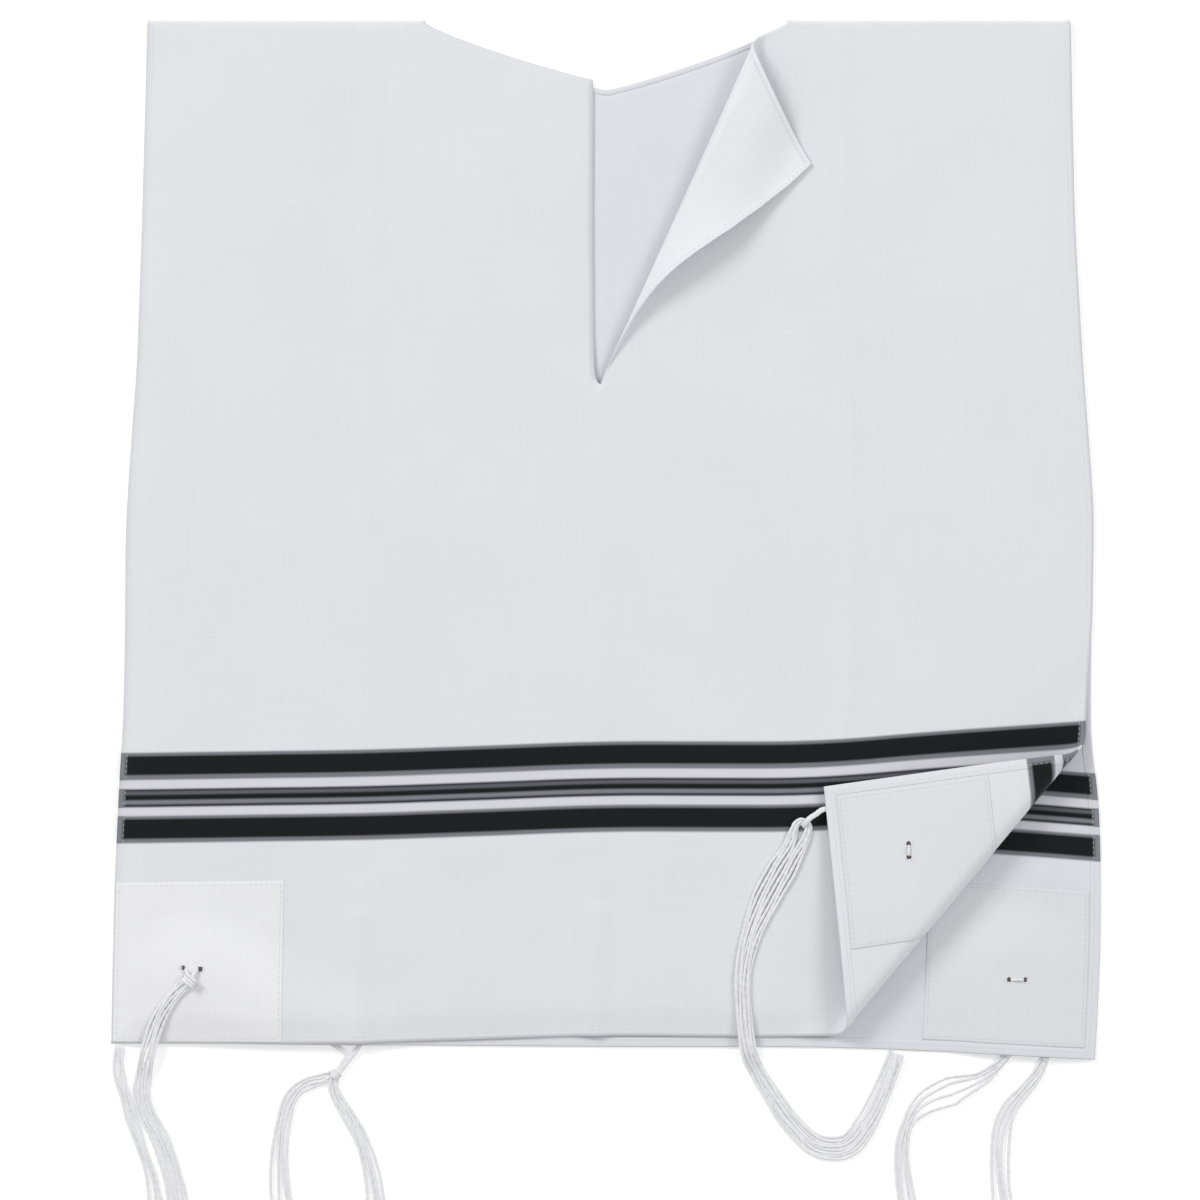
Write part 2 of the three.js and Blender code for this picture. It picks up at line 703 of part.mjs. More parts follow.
// The cloth's middle surface moved by offset along its normal: up on the flat, round the
// shoulder fold, up and over in the lapel and in the turned-up corner
function frontPoint(p, offset) {
  if (p.y > SHOULDER_START) {
    const turn = (p.y - SHOULDER_START) / SHOULDER_ROLL;
    const reach = SHOULDER_ROLL + offset;
    return [p.x, SHOULDER_START + reach * Math.sin(turn),
      FRONT_MID - SHOULDER_ROLL + reach * Math.cos(turn)];
  }
  const dx = p.x - slitBottom.x;
  const dy = p.y - slitBottom.y;
  const reach = Math.hypot(dx, dy);
  const arc = (LAPEL_BEARING - Math.atan2(dx, dy)) * reach;
  if (p.u > SLIT_BOTTOM.u + TINY && p.v > SLIT_BOTTOM.v && arc > 0) {
    const radius = Math.hypot(LAPEL_TAPER * reach, LAPEL_TIGHTEST);
    const { out, up } = rolled(arc, radius, offset, LAPEL_RESTS, LAPEL_SETTLES, 2);
    const bearing = LAPEL_BEARING - out / reach;
    return [slitBottom.x + reach * Math.sin(bearing), slitBottom.y + reach * Math.cos(bearing),
      FRONT_MID + up];
  }
  const past = pastFold(p);
  if (past > 0) {
    const { out, up } = rolled(past, FOLD_ROLL, offset, FLAP_RESTS, FLAP_SETTLES, 1);
    return [p.x + (out - past) * foldOut.x, p.y + (out - past) * foldOut.y, FRONT_MID + up];
  }
  const clearOfFold = smooth(-past / CREASE_HALF);
  return [p.x, p.y, FRONT_MID + offset + riseAt(p.x, p.y) + creaseAt(p) * clearOfFold];
}

// ---------------------------------------------------------------- front panel

// Neckline from its left end to its right end, as stretches between columns
function neckStretches(depth, steps) {
  const drop = (step) => depth * (1 - step ** NECK_ROUNDNESS) ** (1 / NECK_ROUNDNESS);
  const points = [...steps.map((step) => -step), ...[...steps].reverse()]
    .map((step) => ({ u: NECK_CENTRE + NECK_HALF * step, v: NECK_TOP - drop(Math.abs(step)) }));
  return points.slice(1).map((to, i) => ({ from: points[i], to }));
}

const neckAt = (stretches, u) => {
  const { from, to } = stretches.find((stretch) => u >= stretch.from.u && u <= stretch.to.u);
  return { u, v: from.v + (to.v - from.v) * (u - from.u) / (to.u - from.u) };
};

const hemColumns = [0, HEM_WIDTH, HEM_WIDTH + HEM_STEP, CLOTH_WIDTH - HEM_WIDTH - HEM_STEP,
  CLOTH_WIDTH - HEM_WIDTH, CLOTH_WIDTH];
const neckColumns = [-1, 1].flatMap((side) => NECK_STEPS.map(
  (step) => NECK_CENTRE + side * step * NECK_HALF));
const creaseColumns = CREASES.flatMap((peak) => [peak - CREASE_HALF, peak, peak + CREASE_HALF]);
const sorted = (numbers) => [...new Set(numbers)].sort((a, b) => a - b);

const frontColumns = sorted([...hemColumns, ...creaseColumns, ...neckColumns, ...CORNER_COLUMNS,
  PATCH_LEFT, SLIT_LEFT, SLIT_BOTTOM.u, SLIT_RIGHT, PATCH_RIGHT]);
const shoulderRows = Array.from({ length: SHOULDER_STEPS + 1 },
  (_, i) => NECK_TOP + Math.PI * SHOULDER_ROLL * i / SHOULDER_STEPS);
const frontRows = sorted([...FRONT_SIDES.slice(0, -1).map((row) => row.v), HEM_WIDTH,
  HEM_WIDTH + HEM_STEP, CREASE_LOW_TO, SLIT_BOTTOM.v, ...FRONT_ROWS, ...shoulderRows]);

const frontNeck = neckStretches(FRONT_NECK_DEPTH, NECK_STEPS);
const slitTop = neckAt(frontNeck, SLIT_RIGHT);
const frontEdge = [
  ...frontNeck.filter(({ to }) => to.u < SLIT_LEFT),
  { from: frontNeck[NECK_STEPS.length - 1].from, to: neckAt(frontNeck, SLIT_LEFT) },
  { from: { u: SLIT_LEFT, v: SLIT_LEFT_FOOT }, to: SLIT_BOTTOM },
  { from: SLIT_BOTTOM, to: slitTop },
  { from: slitTop, to: frontNeck[NECK_STEPS.length - 1].to },
  ...frontNeck.filter(({ from }) => from.u > SLIT_RIGHT),
];
const slitRight = [SLIT_BOTTOM, ...SLIT_HOLLOW, slitTop];
let frontCloth = cutBeside(cutAbove(gridOf(frontColumns, frontRows), frontEdge), slitRight,
  SLIT_BOTTOM.u).map((polygon) => polygon.map(layFront));

// The lapel's roll and its flap are divided by lines through the slit's bottom
const lapelBearings = [
  ...Array.from({ length: LAPEL_STEPS + 1 }, (_, i) => Math.PI * LAPEL_TAPER * i / LAPEL_STEPS),
  ...LAPEL_REST_STEPS.map(THREE.MathUtils.degToRad),
].map((turned) => LAPEL_BEARING - turned);
const inLapel = (polygon) => {
  const { x, y, u, v } = centre(polygon);
  return u > SLIT_BOTTOM.u && v > SLIT_BOTTOM.v
    && x < slitBottom.x + LAPEL_WIDEST && y > slitBottom.y;
};
lapelBearings.forEach((bearing) => {
  const aside = (p) => (p.x - slitBottom.x) * Math.cos(bearing)
    - (p.y - slitBottom.y) * Math.sin(bearing);
  frontCloth = divide(frontCloth, aside, inLapel);
});

// The turned-up corner is divided by lines along its fold
const foldLines = [
  ...Array.from({ length: FOLD_STEPS + 1 }, (_, i) => Math.PI * FOLD_ROLL * i / FOLD_STEPS),
  ...FLAP_STEPS.map((back) => Math.PI * FOLD_ROLL + back),
];
const nearCorner = (polygon) => centre(polygon).v < SKEW_FULL + HEM_WIDTH
  && centre(polygon).u > CLOTH_WIDTH / 2;
[-CREASE_HALF, ...foldLines].forEach((line) => {
  frontCloth = divide(frontCloth, (p) => pastFold(p) - line, nearCorner);
});
frontCloth = divideOverCords(frontCloth);

const frontSolid = toManifold(wall(frontCloth,
  (p) => frontPoint(p, -HALF_WALL - hemAt(p)),
  (p) => frontPoint(p, HALF_WALL)));

// ---------------------------------------------------------------- back panel

const backColumns = sorted([...hemColumns, ...neckColumns, ...CORNER_COLUMNS, ...BACK_COLUMNS,
  PATCH_LEFT, BACK_PATCH_RIGHT]);
const backRows = sorted([...BACK_SIDES.slice(0, -1).map((row) => row.v), HEM_WIDTH,
  HEM_WIDTH + HEM_STEP, BACK_PATCH_TOP, NECK_TOP - SEAM_GAP]);
const backCloth = divideOverCords(
  cutAbove(gridOf(backColumns, backRows), neckStretches(BACK_NECK_DEPTH, NECK_STEPS))
    .map((polygon) => polygon.map(layBack)));
const backSolid = toManifold(wall(backCloth,
  (p) => backPoint(p, -HALF_WALL),
  (p) => backPoint(p, HALF_WALL + hemAt(p))));

// ---------------------------------------------------------------- eyelets

addPiece('back_panel', punch(punch(backSolid, EYELETS.back_left, UNDER_ALL, OVER_ALL),
  EYELETS.back_right, UNDER_ALL, OVER_ALL), CLOTH_COLOUR, 0.95);
addPiece('front_panel', punch(punch(frontSolid, EYELETS.front_left, UNDER_ALL, OVER_ALL),
  EYELETS.front_right, UNDER_FLAP, OVER_FLAP), CLOTH_COLOUR, 0.95);

// ---------------------------------------------------------------- corner patches

// Each patch is a part of its panel's cloth, moved out by the seam gap
const clearOfHem = ({ u, v }) => v > HEM_WIDTH && u < CLOTH_WIDTH - HEM_WIDTH;

const leftPatch = frontCloth.filter((polygon) => {
  const { u, v } = centre(polygon);
  return u < PATCH_LEFT && v < PATCH_TOP;
});
const leftPatchSolid = toManifold(wall(leftPatch,
  (p) => frontPoint(p, PATCH_NEAR),
  (p) => frontPoint(p, PATCH_FAR)));
addPiece('patch_front_left', punch(leftPatchSolid, EYELETS.front_left, UNDER_ALL, OVER_ALL),
  PATCH_COLOUR, 0.95);

const patchFoldStart = foldLines[PATCH_FOLD_START];
const rightPatch = frontCloth.filter((polygon) => {
  const middle = centre(polygon);
  return middle.u > PATCH_RIGHT && middle.v < PATCH_TOP && clearOfHem(middle)
    && middle.u < CLOTH_WIDTH - HEM_WIDTH - HEM_STEP && middle.v > HEM_WIDTH + HEM_STEP
    && pastFold(middle) > patchFoldStart;
});
const rightPatchSolid = toManifold(wall(rightPatch,
  (p) => frontPoint(p, -PATCH_FAR),
  (p) => frontPoint(p, -PATCH_NEAR)));
addPiece('patch_front_right', punch(rightPatchSolid, EYELETS.front_right, UNDER_FLAP, OVER_FLAP),
  PATCH_COLOUR, 0.95);

const backPatch = backCloth.filter((polygon) => {
  const middle = centre(polygon);
  return middle.u > BACK_PATCH_RIGHT && middle.v < BACK_PATCH_TOP
    && middle.u < CLOTH_WIDTH - HEM_WIDTH - HEM_STEP && middle.v > HEM_WIDTH + HEM_STEP;
});
const backPatchSolid = toManifold(wall(backPatch,
  (p) => backPoint(p, PATCH_NEAR),
  (p) => backPoint(p, PATCH_FAR)));
addPiece('patch_back_right', punch(backPatchSolid, EYELETS.back_right, UNDER_ALL, OVER_ALL),
  PATCH_COLOUR, 0.95);

// ---------------------------------------------------------------- tassels

// A body along a path, with the same section all the way: level across, upright in its height
function sweep(path, sides, across, high, sideways) {
  const rings = path.map(([x, y, z], i) => {
    const before = path[Math.max(0, i - 1)];
    const after = path[Math.min(path.length - 1, i + 1)];
    const ahead = new THREE.Vector3(...after).sub(new THREE.Vector3(...before)).normalize();
    const aside = sideways ?? new THREE.Vector3(ahead.y, -ahead.x, 0).normalize();
    const upright = new THREE.Vector3().crossVectors(aside, ahead);
    return Array.from({ length: sides }, (_, k) => {
      const angle = 2 * Math.PI * k / sides;
      return new THREE.Vector3(x, y, z)
        .addScaledVector(aside, across * Math.cos(angle))
        .addScaledVector(upright, high * Math.sin(angle)).toArray();
    });
  });
  const last = (path.length - 1) * sides;
  const index = [];
  for (let i = 0; i + 1 < path.length; i += 1) {
    for (let k = 0; k < sides; k += 1) {
      const a = i * sides + k;
      const b = i * sides + (k + 1) % sides;
      index.push(a, b + sides, b, a, a + sides, b + sides);
    }
  }
  for (let k = 1; k + 1 < sides; k += 1) {
    index.push(0, k, k + 1, last, last + k + 1, last + k);
  }
  return toManifold({ points: rings.flat(), index });
}

function knot({ x, y, z, across, along, high }) {
  const ball = new THREE.SphereGeometry(1, 8, 6);
  ball.rotateX(Math.PI / 2);
  ball.scale(across, along, high);
  ball.translate(x, y, z);
  return fromGeometry(ball);
}

// Strings side by side along a centre line. Where they close up, each second one rides on its
// neighbours, and where they have room they lie unevenly apart.
function fan({ count, rows, ends }) {
  const curve = new THREE.CatmullRomCurve3(
    rows.map(({ x, y }) => new THREE.Vector3(x, y, 0)), false, 'catmullrom', 0.5);
  const spans = rows.length - 1;
  const column = (name, t) => {
    const i = Math.min(spans - 1, Math.floor(t * spans));
    return rows[i][name] + (rows[i + 1][name] - rows[i][name]) * (t * spans - i);
  };
  return Array.from({ length: count }, (_, i) => {
    const end = ends ? ends[i] : 1 - END_SPREAD * ((3 * i) % 4) / spans;
    const steps = Math.round(end * spans * STEPS_A_ROW);
    const path = Array.from({ length: steps + 1 }, (__, k) => {
      const t = end * k / steps;
      const at = curve.getPoint(t);
      const ahead = curve.getTangent(t);
      const pitch = column('width', t) / (count - 1);
      const spare = Math.max(0, pitch - STRING_ROOM);
      const aside = (i - (count - 1) / 2) * pitch
        + UNEVENNESS * spare * Math.sin(2.4 * i + 1.3 * t * spans);
      const x = at.x + ahead.y * aside;
      const y = at.y - ahead.x * aside;
      const lies = column('lies', t);
      const over = lies > WALL ? riseAt(x, y) * Math.min(1, lies / FRONT_TOP) : 0;
      const rides = i % 2 ? Math.max(0, STRING_LIFT - pitch) : 0;
      return [x, y, lies + over + STRING_CLEAR + STRING_REACH + rides];
    });
    return sweep(path, 4, STRING_REACH, STRING_REACH);
  });
}

// The strings' loop: across the cloth's inner face between the eyelets, and out through both
function loop(eyelets, barAt, outAt) {
  const [a, b] = eyelets;
  const length = Math.hypot(b.x - a.x, b.y - a.y);
  const ahead = { x: (b.x - a.x) / length, y: (b.y - a.y) / length };
  const middle = { x: (a.x + b.x) / 2, y: (a.y + b.y) / 2 };
  const at = (along) => [middle.x + along * ahead.x, middle.y + along * ahead.y];
  const outward = Math.sign(outAt(...at(0)) - barAt(...at(0)));
  const place = (along, height, off) => {
    const [x, y] = at(along);
    return [x, y, height(x, y) + off * outward];
  };
  const path = [
    place(-LOOP_INSET, outAt, 0),
    place(-LOOP_INSET, barAt, LOOP_RADIUS),
    place(LOOP_RADIUS - LOOP_INSET, barAt, 0),
    place(LOOP_INSET - LOOP_RADIUS, barAt, 0),
    place(LOOP_INSET, barAt, LOOP_RADIUS),
    place(LOOP_INSET, outAt, 0),
  ];
  const sideways = new THREE.Vector3(-ahead.y, ahead.x, 0);
  return {
    solid: sweep(path, 6, LOOP_RADIUS, LOOP_HALF, sideways),
    feet: [path[0], path[path.length - 1]],
  };
}

// Height of the turned-up corner's cloth, offset from its middle towards what was its outer side
function flapHeight(x, y, offset) {
  const back = -pastFold({ x, y });
  const drop = (2 * FOLD_ROLL - FLAP_RESTS) * smooth(back / FLAP_SETTLES);
  return FRONT_MID + 2 * FOLD_ROLL - offset - drop;
}

// Heights of each tassel's loop: its bar on the cloth's inner face, its ends on the outer face
const underFront = (x, y) => (BACK_MID + FRONT_MID) / 2 + riseAt(x, y);
const LOOP_HEIGHTS = {
  tassel_front_left: {
    bar: underFront,
    out: (x, y) => PATCH_LIES + STRING_CLEAR + LOOP_RADIUS + riseAt(x, y),
  },
  tassel_back_left: { bar: underFront, out: () => CORD_LIES },
  tassel_front_right: {
    bar: (x, y) => flapHeight(x, y, -PATCH_FAR) + LOOP_OVER,
    out: (x, y) => flapHeight(x, y, HALF_WALL) - LOOP_UNDER,
  },
  tassel_back_right: {
    bar: (x, y) => BACK_MID + PATCH_FAR + LOOP_OVER + riseAt(x, y),
    out: () => CORD_LIES,
  },
};

TASSELS.forEach(({ name, eyelets, knots, cords, fans }) => {
  const { bar, out } = LOOP_HEIGHTS[name];
  const { solid, feet } = loop(eyelets, bar, out);
  const head = knots[0];
  const toHead = feet.map((foot) => sweep(
    [foot, [head.x, head.y, head.z]], 6, LOOP_RADIUS, LOOP_RADIUS));
  const runs = cords.map((rows) => sweep(
    rows.map(({ x, y, z }) => [x, y, z ?? CORD_LIES]), 6, CORD_HALF, CORD_HIGH));
  const strings = fans.flatMap(fan);
  const whole = [...toHead, ...knots.map(knot), ...runs, ...strings].reduce(
    (sum, part) => sum.add(part), solid);
  addPiece(name, whole, STRING_COLOUR, 0.85);
});

export default group;
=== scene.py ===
import bpy
import numpy as np
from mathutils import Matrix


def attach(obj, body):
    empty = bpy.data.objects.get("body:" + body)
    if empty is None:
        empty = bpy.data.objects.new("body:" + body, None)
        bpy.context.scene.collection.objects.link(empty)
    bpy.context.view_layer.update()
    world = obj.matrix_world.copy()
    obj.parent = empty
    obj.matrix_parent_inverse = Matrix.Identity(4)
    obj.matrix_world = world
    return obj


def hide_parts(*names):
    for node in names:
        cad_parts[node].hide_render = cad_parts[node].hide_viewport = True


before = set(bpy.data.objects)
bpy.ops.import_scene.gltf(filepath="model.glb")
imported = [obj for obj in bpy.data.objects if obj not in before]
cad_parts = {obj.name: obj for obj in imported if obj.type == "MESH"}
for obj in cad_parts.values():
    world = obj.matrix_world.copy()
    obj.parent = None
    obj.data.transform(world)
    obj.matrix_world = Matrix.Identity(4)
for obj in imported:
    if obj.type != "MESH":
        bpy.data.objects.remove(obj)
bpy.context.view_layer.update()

# Camera. It looks straight down from high above, with its middle a little below the middle of
# the front, and takes in the stripes, the turned-up corner and the upper ends of the tassels.
CAMERA_PLACE = (-0.0041, -0.0346, 2.5)
VIEW_WIDTH = 0.6108
SENSOR_MM = 36

camera_data = bpy.data.cameras.new("camera")
camera_data.sensor_width = SENSOR_MM
camera_data.lens = SENSOR_MM * CAMERA_PLACE[2] / VIEW_WIDTH
camera = bpy.data.objects.new("camera", camera_data)
camera.location = CAMERA_PLACE
bpy.context.scene.collection.objects.link(camera)
bpy.context.scene.camera = camera

# Floor and light. A plain white surface, a large soft lamp high on each side, the left one
# stronger, and even white light from all round.
FLOOR_HALF = 4.0
FLOOR_UNDER = -0.0003
FLOOR_COLOUR = "#F4F4F4"
FLOOR_GLOW = 0.27
LAMPS = [("left_lamp", (-3.3, 3.0, 3.6), 138), ("right_lamp", (3.6, 1.6, 3.4), 70.5)]
LAMP_SIZE = 2.2
SKY_STRENGTH = 0.555


def linear(colour):
    """The linear red, green and blue of an sRGB colour written as hex, with full alpha."""
    parts = np.array([int(colour[k:k + 2], 16) for k in (1, 3, 5)]) / 255
    low = parts / 12.92
    high = ((parts + 0.055) / 1.055) ** 2.4
    return (*np.where(parts <= 0.04045, low, high), 1.0)


def add(material, kind, inputs=(), **settings):
    """Adds a node of that kind, sets its properties, and gives its inputs values or links."""
    node = material.node_tree.nodes.new("ShaderNode" + kind)
    for name, value in settings.items():
        setattr(node, name, value)
    for name, value in dict(inputs).items():
        if isinstance(value, bpy.types.NodeSocket):
            material.node_tree.links.new(value, node.inputs[name])
        else:
            node.inputs[name].default_value = value
    return node


def new_material(name):
    """An empty node material of that name."""
    material = bpy.data.materials.new(name)
    material.use_nodes = True
    material.node_tree.nodes.clear()
    return material


# Matt white board: it shows only soft shadows.
board = new_material("matt_white_board")
board_shader = add(board, "BsdfPrincipled", {
    "Base Color": linear(FLOOR_COLOUR), "Roughness": 0.9, "Specular IOR Level": 0.1,
    "Emission Color": linear("#FFFFFF"), "Emission Strength": FLOOR_GLOW})
add(board, "OutputMaterial", {"Surface": board_shader.outputs[0]})

floor_mesh = bpy.data.meshes.new("floor")
floor_mesh.from_pydata(
    [(x, y, FLOOR_UNDER) for x, y in (
        (-FLOOR_HALF, -FLOOR_HALF), (FLOOR_HALF, -FLOOR_HALF),
        (FLOOR_HALF, FLOOR_HALF), (-FLOOR_HALF, FLOOR_HALF))],
    [], [(0, 1, 2, 3)])
floor = bpy.data.objects.new("floor", floor_mesh)
floor.data.materials.append(board)
bpy.context.scene.collection.objects.link(floor)

for name, place, watts in LAMPS:
    lamp_data = bpy.data.lights.new(name, "AREA")
    lamp_data.shape = "DISK"
    lamp_data.size = LAMP_SIZE
    lamp_data.energy = watts
    lamp = bpy.data.objects.new(name, lamp_data)
    lamp.location = place
    lamp.rotation_mode = "QUATERNION"
    lamp.rotation_quaternion = lamp.location.to_track_quat("Z", "Y")
    bpy.context.scene.collection.objects.link(lamp)

sky = bpy.data.worlds.new("white_room")
sky.use_nodes = True
sky.node_tree.nodes["Background"].inputs["Color"].default_value = linear("#FFFFFF")
sky.node_tree.nodes["Background"].inputs["Strength"].default_value = SKY_STRENGTH
bpy.context.scene.world = sky
bpy.context.scene.view_settings.view_transform = "Standard"

# Front panel. One half of a length of white wool, woven with black and gray stripes, cut out at
# the neck and slit down the front. It lies on the back panel. The slit's right edge is turned
# back and the right corner is turned up. All cloth sizes are in millimetres.
CLOTH_WIDTH = 500
CLOTH_HALF = 0.4
SAME_PLACE = 1e-6
BACK_MID = 0.6
FRONT_MID = 3.6
HEM_Y = -260
SHOULDER_START = 258.4
SHOULDER_ROLL = (FRONT_MID - BACK_MID) / 2
SHOULDER_STEPS = 6
NECK_TOP = SHOULDER_START - HEM_Y

FRONT_SIDES = [  # height up the cloth, x of the left edge, x of the right edge
    (0, -252.5, 248), (40, -251.8, 246.5), (83, -250.8, 245), (138, -248.2, 242),
    (165, -246.4, 243.5), (200, -245.6, 246.2), (260, -245.2, 247), (297, -243, 244.6),
    (345, -239.4, 241.2), (420, -236.8, 237.2), (520, -234, 235)]
FRONT_HEM_RISE = [  # distance across the cloth, how far the hem stands above a straight one
    (0, 0), (121, 0), (215, 3), (249, 4.2), (297, 3.5), (362, 3.2), (400, 6.9), (440, 10.2),
    (500, 15)]
STRIPE_BOW = [  # distance across the cloth, how far the stripes stand above the hem's own line
    (0, -1.4), (95, 0), (220, 0.4), (322, 1.3), (410, 1.1), (500, 0)]
BOW_FULL = 95
BOW_FROM = 150
BOW_GONE = 320
SIDE_BEND = 12
HEM_BEND = 26
SKEW_FULL = 150
SKEW_GONE = 420

NECK_CENTRE = 248.5
NECK_HALF = 98
FRONT_NECK_DEPTH = 29.8
NECK_ROUNDNESS = 1.15
SLIT_LEFT = 241.4
SLIT_RIGHT = 253.4
SLIT_BOTTOM = (245.3, 334)
SLIT_FOOT = [  # height up the cloth, distance across of the slit's left edge
    (334, 245.3), (334.9, 243.9), (336.8, 242.8), (340, 242), (346, 241.5), (354, SLIT_LEFT)]

LAPEL_FOLD = 24.2
LAPEL_SHAPE = [  # distance from the slit's foot, bearing of the cloth's edge, roll, whole turn
    (0, 21, 0.0, 95), (20, 19.5, 1.0, 110), (40, 17.4, 1.9, 124), (58, 14.6, 2.5, 138),
    (74, 11.6, 2.8, 151), (88, 9.0, 2.9, 161), (104, 6.5, 3.1, 169), (121, 4.8, 3.5, 175),
    (140, 3.4, 4.2, 179), (155, 2.98, 4.8, 180), (190, 2.98, 5.6, 180)]
LAPEL_EDGE = 2.98
LAPEL_TIGHTEST = 0.6
LAPEL_RESTS = 1.5
LAPEL_SETTLES = 39
LAPEL_OVER = (150, 180)
SCOOP_BEARING = 60

FOLD_HEM_END = (116.1, -257)
FOLD_SIDE_END = (240.2, -108.4)
FOLD_ROLL = 6
FLAP_RESTS = 3.6
FLAP_SETTLES = 80

EDGE_SINKS = 1.55
EDGE_SLOPE = 16
SHOULDER_CLEAR = 45
SLIT_CLEAR = 30

CORD_RISE = 3.6
CORD_RISES = [  # x and y of both ends of a buried cord, half width of the flat top, slope's width
    (-210, -228, -131, -264, 4, 34), (208, -227.5, 213, -272, 12, 30)]

FRONT_CREASES = [  # u, v at one end, u, v at the other, half width, height: ironed folds, of
    # which the first three rows, and three more further on, are each one fold that fades out
    (125, -20, 126, 62, 5.6, 1.0),
    (125, -20, 126, 78, 5.6, 0.7),
    (125, -20, 126, 94, 5.6, 0.4),
    (126, 100, 121, 540, 4.6, 0.55),
    (245, -20, 247, 62, 5.2, 0.9),
    (245, -20, 247, 78, 5.2, 0.6),
    (245, -20, 247, 94, 5.2, 0.4),
    (248, 100, 246, 300, 4.2, 0.5),
    (375, 150, 376, 540, 4.4, 0.85),
    (60, 96, 66, 250, 26, 0.5),
    (182, 20, 190, 180, 30, 0.55),
    (310, 40, 300, 210, 28, 0.5),
    (190, 260, 178, 430, 34, 0.6),
    (70, 330, 62, 470, 30, 0.5),
    (430, 190, 440, 330, 26, 0.55),
    (300, 240, 340, 330, 24, 0.5),
    (180, 96, 240, 99, 9, 0.35),
]
FLAT_MARGIN = 14
FINE = 2.0
COARSE = 4.0
FINE_FROM = 338
FINE_TO = 166
NECK_STEP = 1.5

WOOL_WHITE = "#E3E4E8"
STRIPE_BLACK = "#141519"
STRIPE_DARK = "#2E2F35"
STRIPE_GRAY = "#7A7B82"
STRIPE_MID_GRAY = "#5F6068"
STRIPE_PALE_GRAY = "#7F8088"
STRIPE_LIGHT = "#D8D8DE"
SELVEDGE_GRAY = "#85868D"
STRIPES = [  # upper edge of each woven band, millimetres above the hem, and its colour
    (103.0, WOOL_WHITE), (105.2, STRIPE_GRAY), (115.3, STRIPE_BLACK), (116.8, STRIPE_GRAY),
    (121.2, STRIPE_LIGHT), (122.7, STRIPE_DARK), (124.8, STRIPE_PALE_GRAY),
    (127.5, STRIPE_BLACK), (129.3, STRIPE_MID_GRAY), (130.5, STRIPE_DARK),
    (135.1, STRIPE_LIGHT), (137.6, STRIPE_GRAY), (147.3, STRIPE_BLACK),
    (149.0, STRIPE_GRAY), (155, WOOL_WHITE)]
STRIPES_FROM = 95
STRIPES_TO = 155
BAND_SOFTNESS = 0.55
SELVEDGE = (1.6, 3.9)
DARK_BAND = 0.45
CLOUD_SHADES = (0.984, 1.01)
SLUB_SHADES = (0.983, 1.017)
SLUBS_A_METRE = (30, 1100)
THREAD_MM = 1.0
WEAVE_SHARE = 0.35
WEAVE_DEPTH = 0.0002
# Painted light on the lapel: how much whiter, and the bearings from the slit's foot over which it
# fades out.
LAPEL_PAINTED_LIGHT = 0.065
LAPEL_LIGHT_BEARINGS = (22.4, 23.4)


def read(rows, at, column):
    """Straight lines between the rows of a table, whose first column is the place asked for."""
    table = np.array(rows, float)
    return np.interp(at, table[:, 0], table[:, column])


def eased(rows, at, column, reach):
    """The same with rounded bends: the mean of five readings up to reach to both sides, closer
    together towards the ends of the table."""
    room = np.clip(np.minimum(at - rows[0][0], rows[-1][0] - at), 0, reach)
    return sum(read(rows, at + part * room, column) for part in (-1, -0.5, 0, 0.5, 1)) / 5


def smooth(t):
    """From nought to one and level at both ends: three t squared less two t cubed."""
    part = np.clip(t, 0, 1)
    return part * part * (3 - 2 * part)


def skew(v):
    """Whole near the hem and gone above it, where the hem's slope has died out."""
    return 1 - smooth((v - SKEW_FULL) / (SKEW_GONE - SKEW_FULL))


def bowed(v):
    """Nought at the hem, whole at the stripes and gone again well above them."""
    return smooth(v / BOW_FULL) * (1 - smooth((v - BOW_FROM) / (BOW_GONE - BOW_FROM)))


def lay_front(u, v):
    """Where a place on the cloth lies: u spread between the side edges, v up from the hem, with
    the hem's rise near it and the stripes' own bow about them."""
    left, right = (eased(FRONT_SIDES, v, side, SIDE_BEND) for side in (1, 2))
    return (left + (right - left) * u / CLOTH_WIDTH,
            HEM_Y + v + eased(FRONT_HEM_RISE, u, 1, HEM_BEND) * skew(v)
            + eased(STRIPE_BOW, u, 1, HEM_BEND) * bowed(v))


def near_line(x, y, x0, y0, x1, y1):
    """Distance from the straight line between two ends."""
    dx, dy = x1 - x0, y1 - y0
    part = np.clip(((x - x0) * dx + (y - y0) * dy) / (dx * dx + dy * dy), 0, 1)
    return np.hypot(x - x0 - part * dx, y - y0 - part * dy)


def rise_at(x, y):
    """Height over a buried cord: level near its line, then a smooth slope down."""
    rise = np.zeros(np.broadcast(x, y).shape)
    for x0, y0, x1, y1, flat, slope in CORD_RISES:
        away = near_line(x, y, x0, y0, x1, y1)
        rise = np.maximum(rise, CORD_RISE * (1 - smooth((away - flat) / slope)))
    return rise


def sunk(u, v, y):
    """How far the front sinks onto the back panel: most at its sides, its hem and the slit's left
    edge, and not at all a little way in from them or at the shoulders."""
    inside = np.minimum(np.minimum(u, CLOTH_WIDTH - u), v)
    edges = (1 - smooth(inside / EDGE_SLOPE)) * smooth((SHOULDER_START - y) / SHOULDER_CLEAR)
    slit = ((1 - smooth((SLIT_LEFT - u) / EDGE_SLOPE)) * (u < SLIT_BOTTOM[0] + SAME_PLACE)
            * smooth((v - SLIT_BOTTOM[1]) / SLIT_CLEAR) * smooth((NECK_TOP - v) / EDGE_SLOPE))
    return EDGE_SINKS * np.maximum(edges, slit)


def creases_at(creases, u, v):
    """Sum of soft ridges: each one's height times e to the minus squared distance in widths."""
    height = np.zeros(np.broadcast(u, v).shape)
    for u0, v0, u1, v1, half, high in creases:
        height += high * np.exp(-(near_line(u, v, u0, v0, u1, v1) / half) ** 2)
    return height


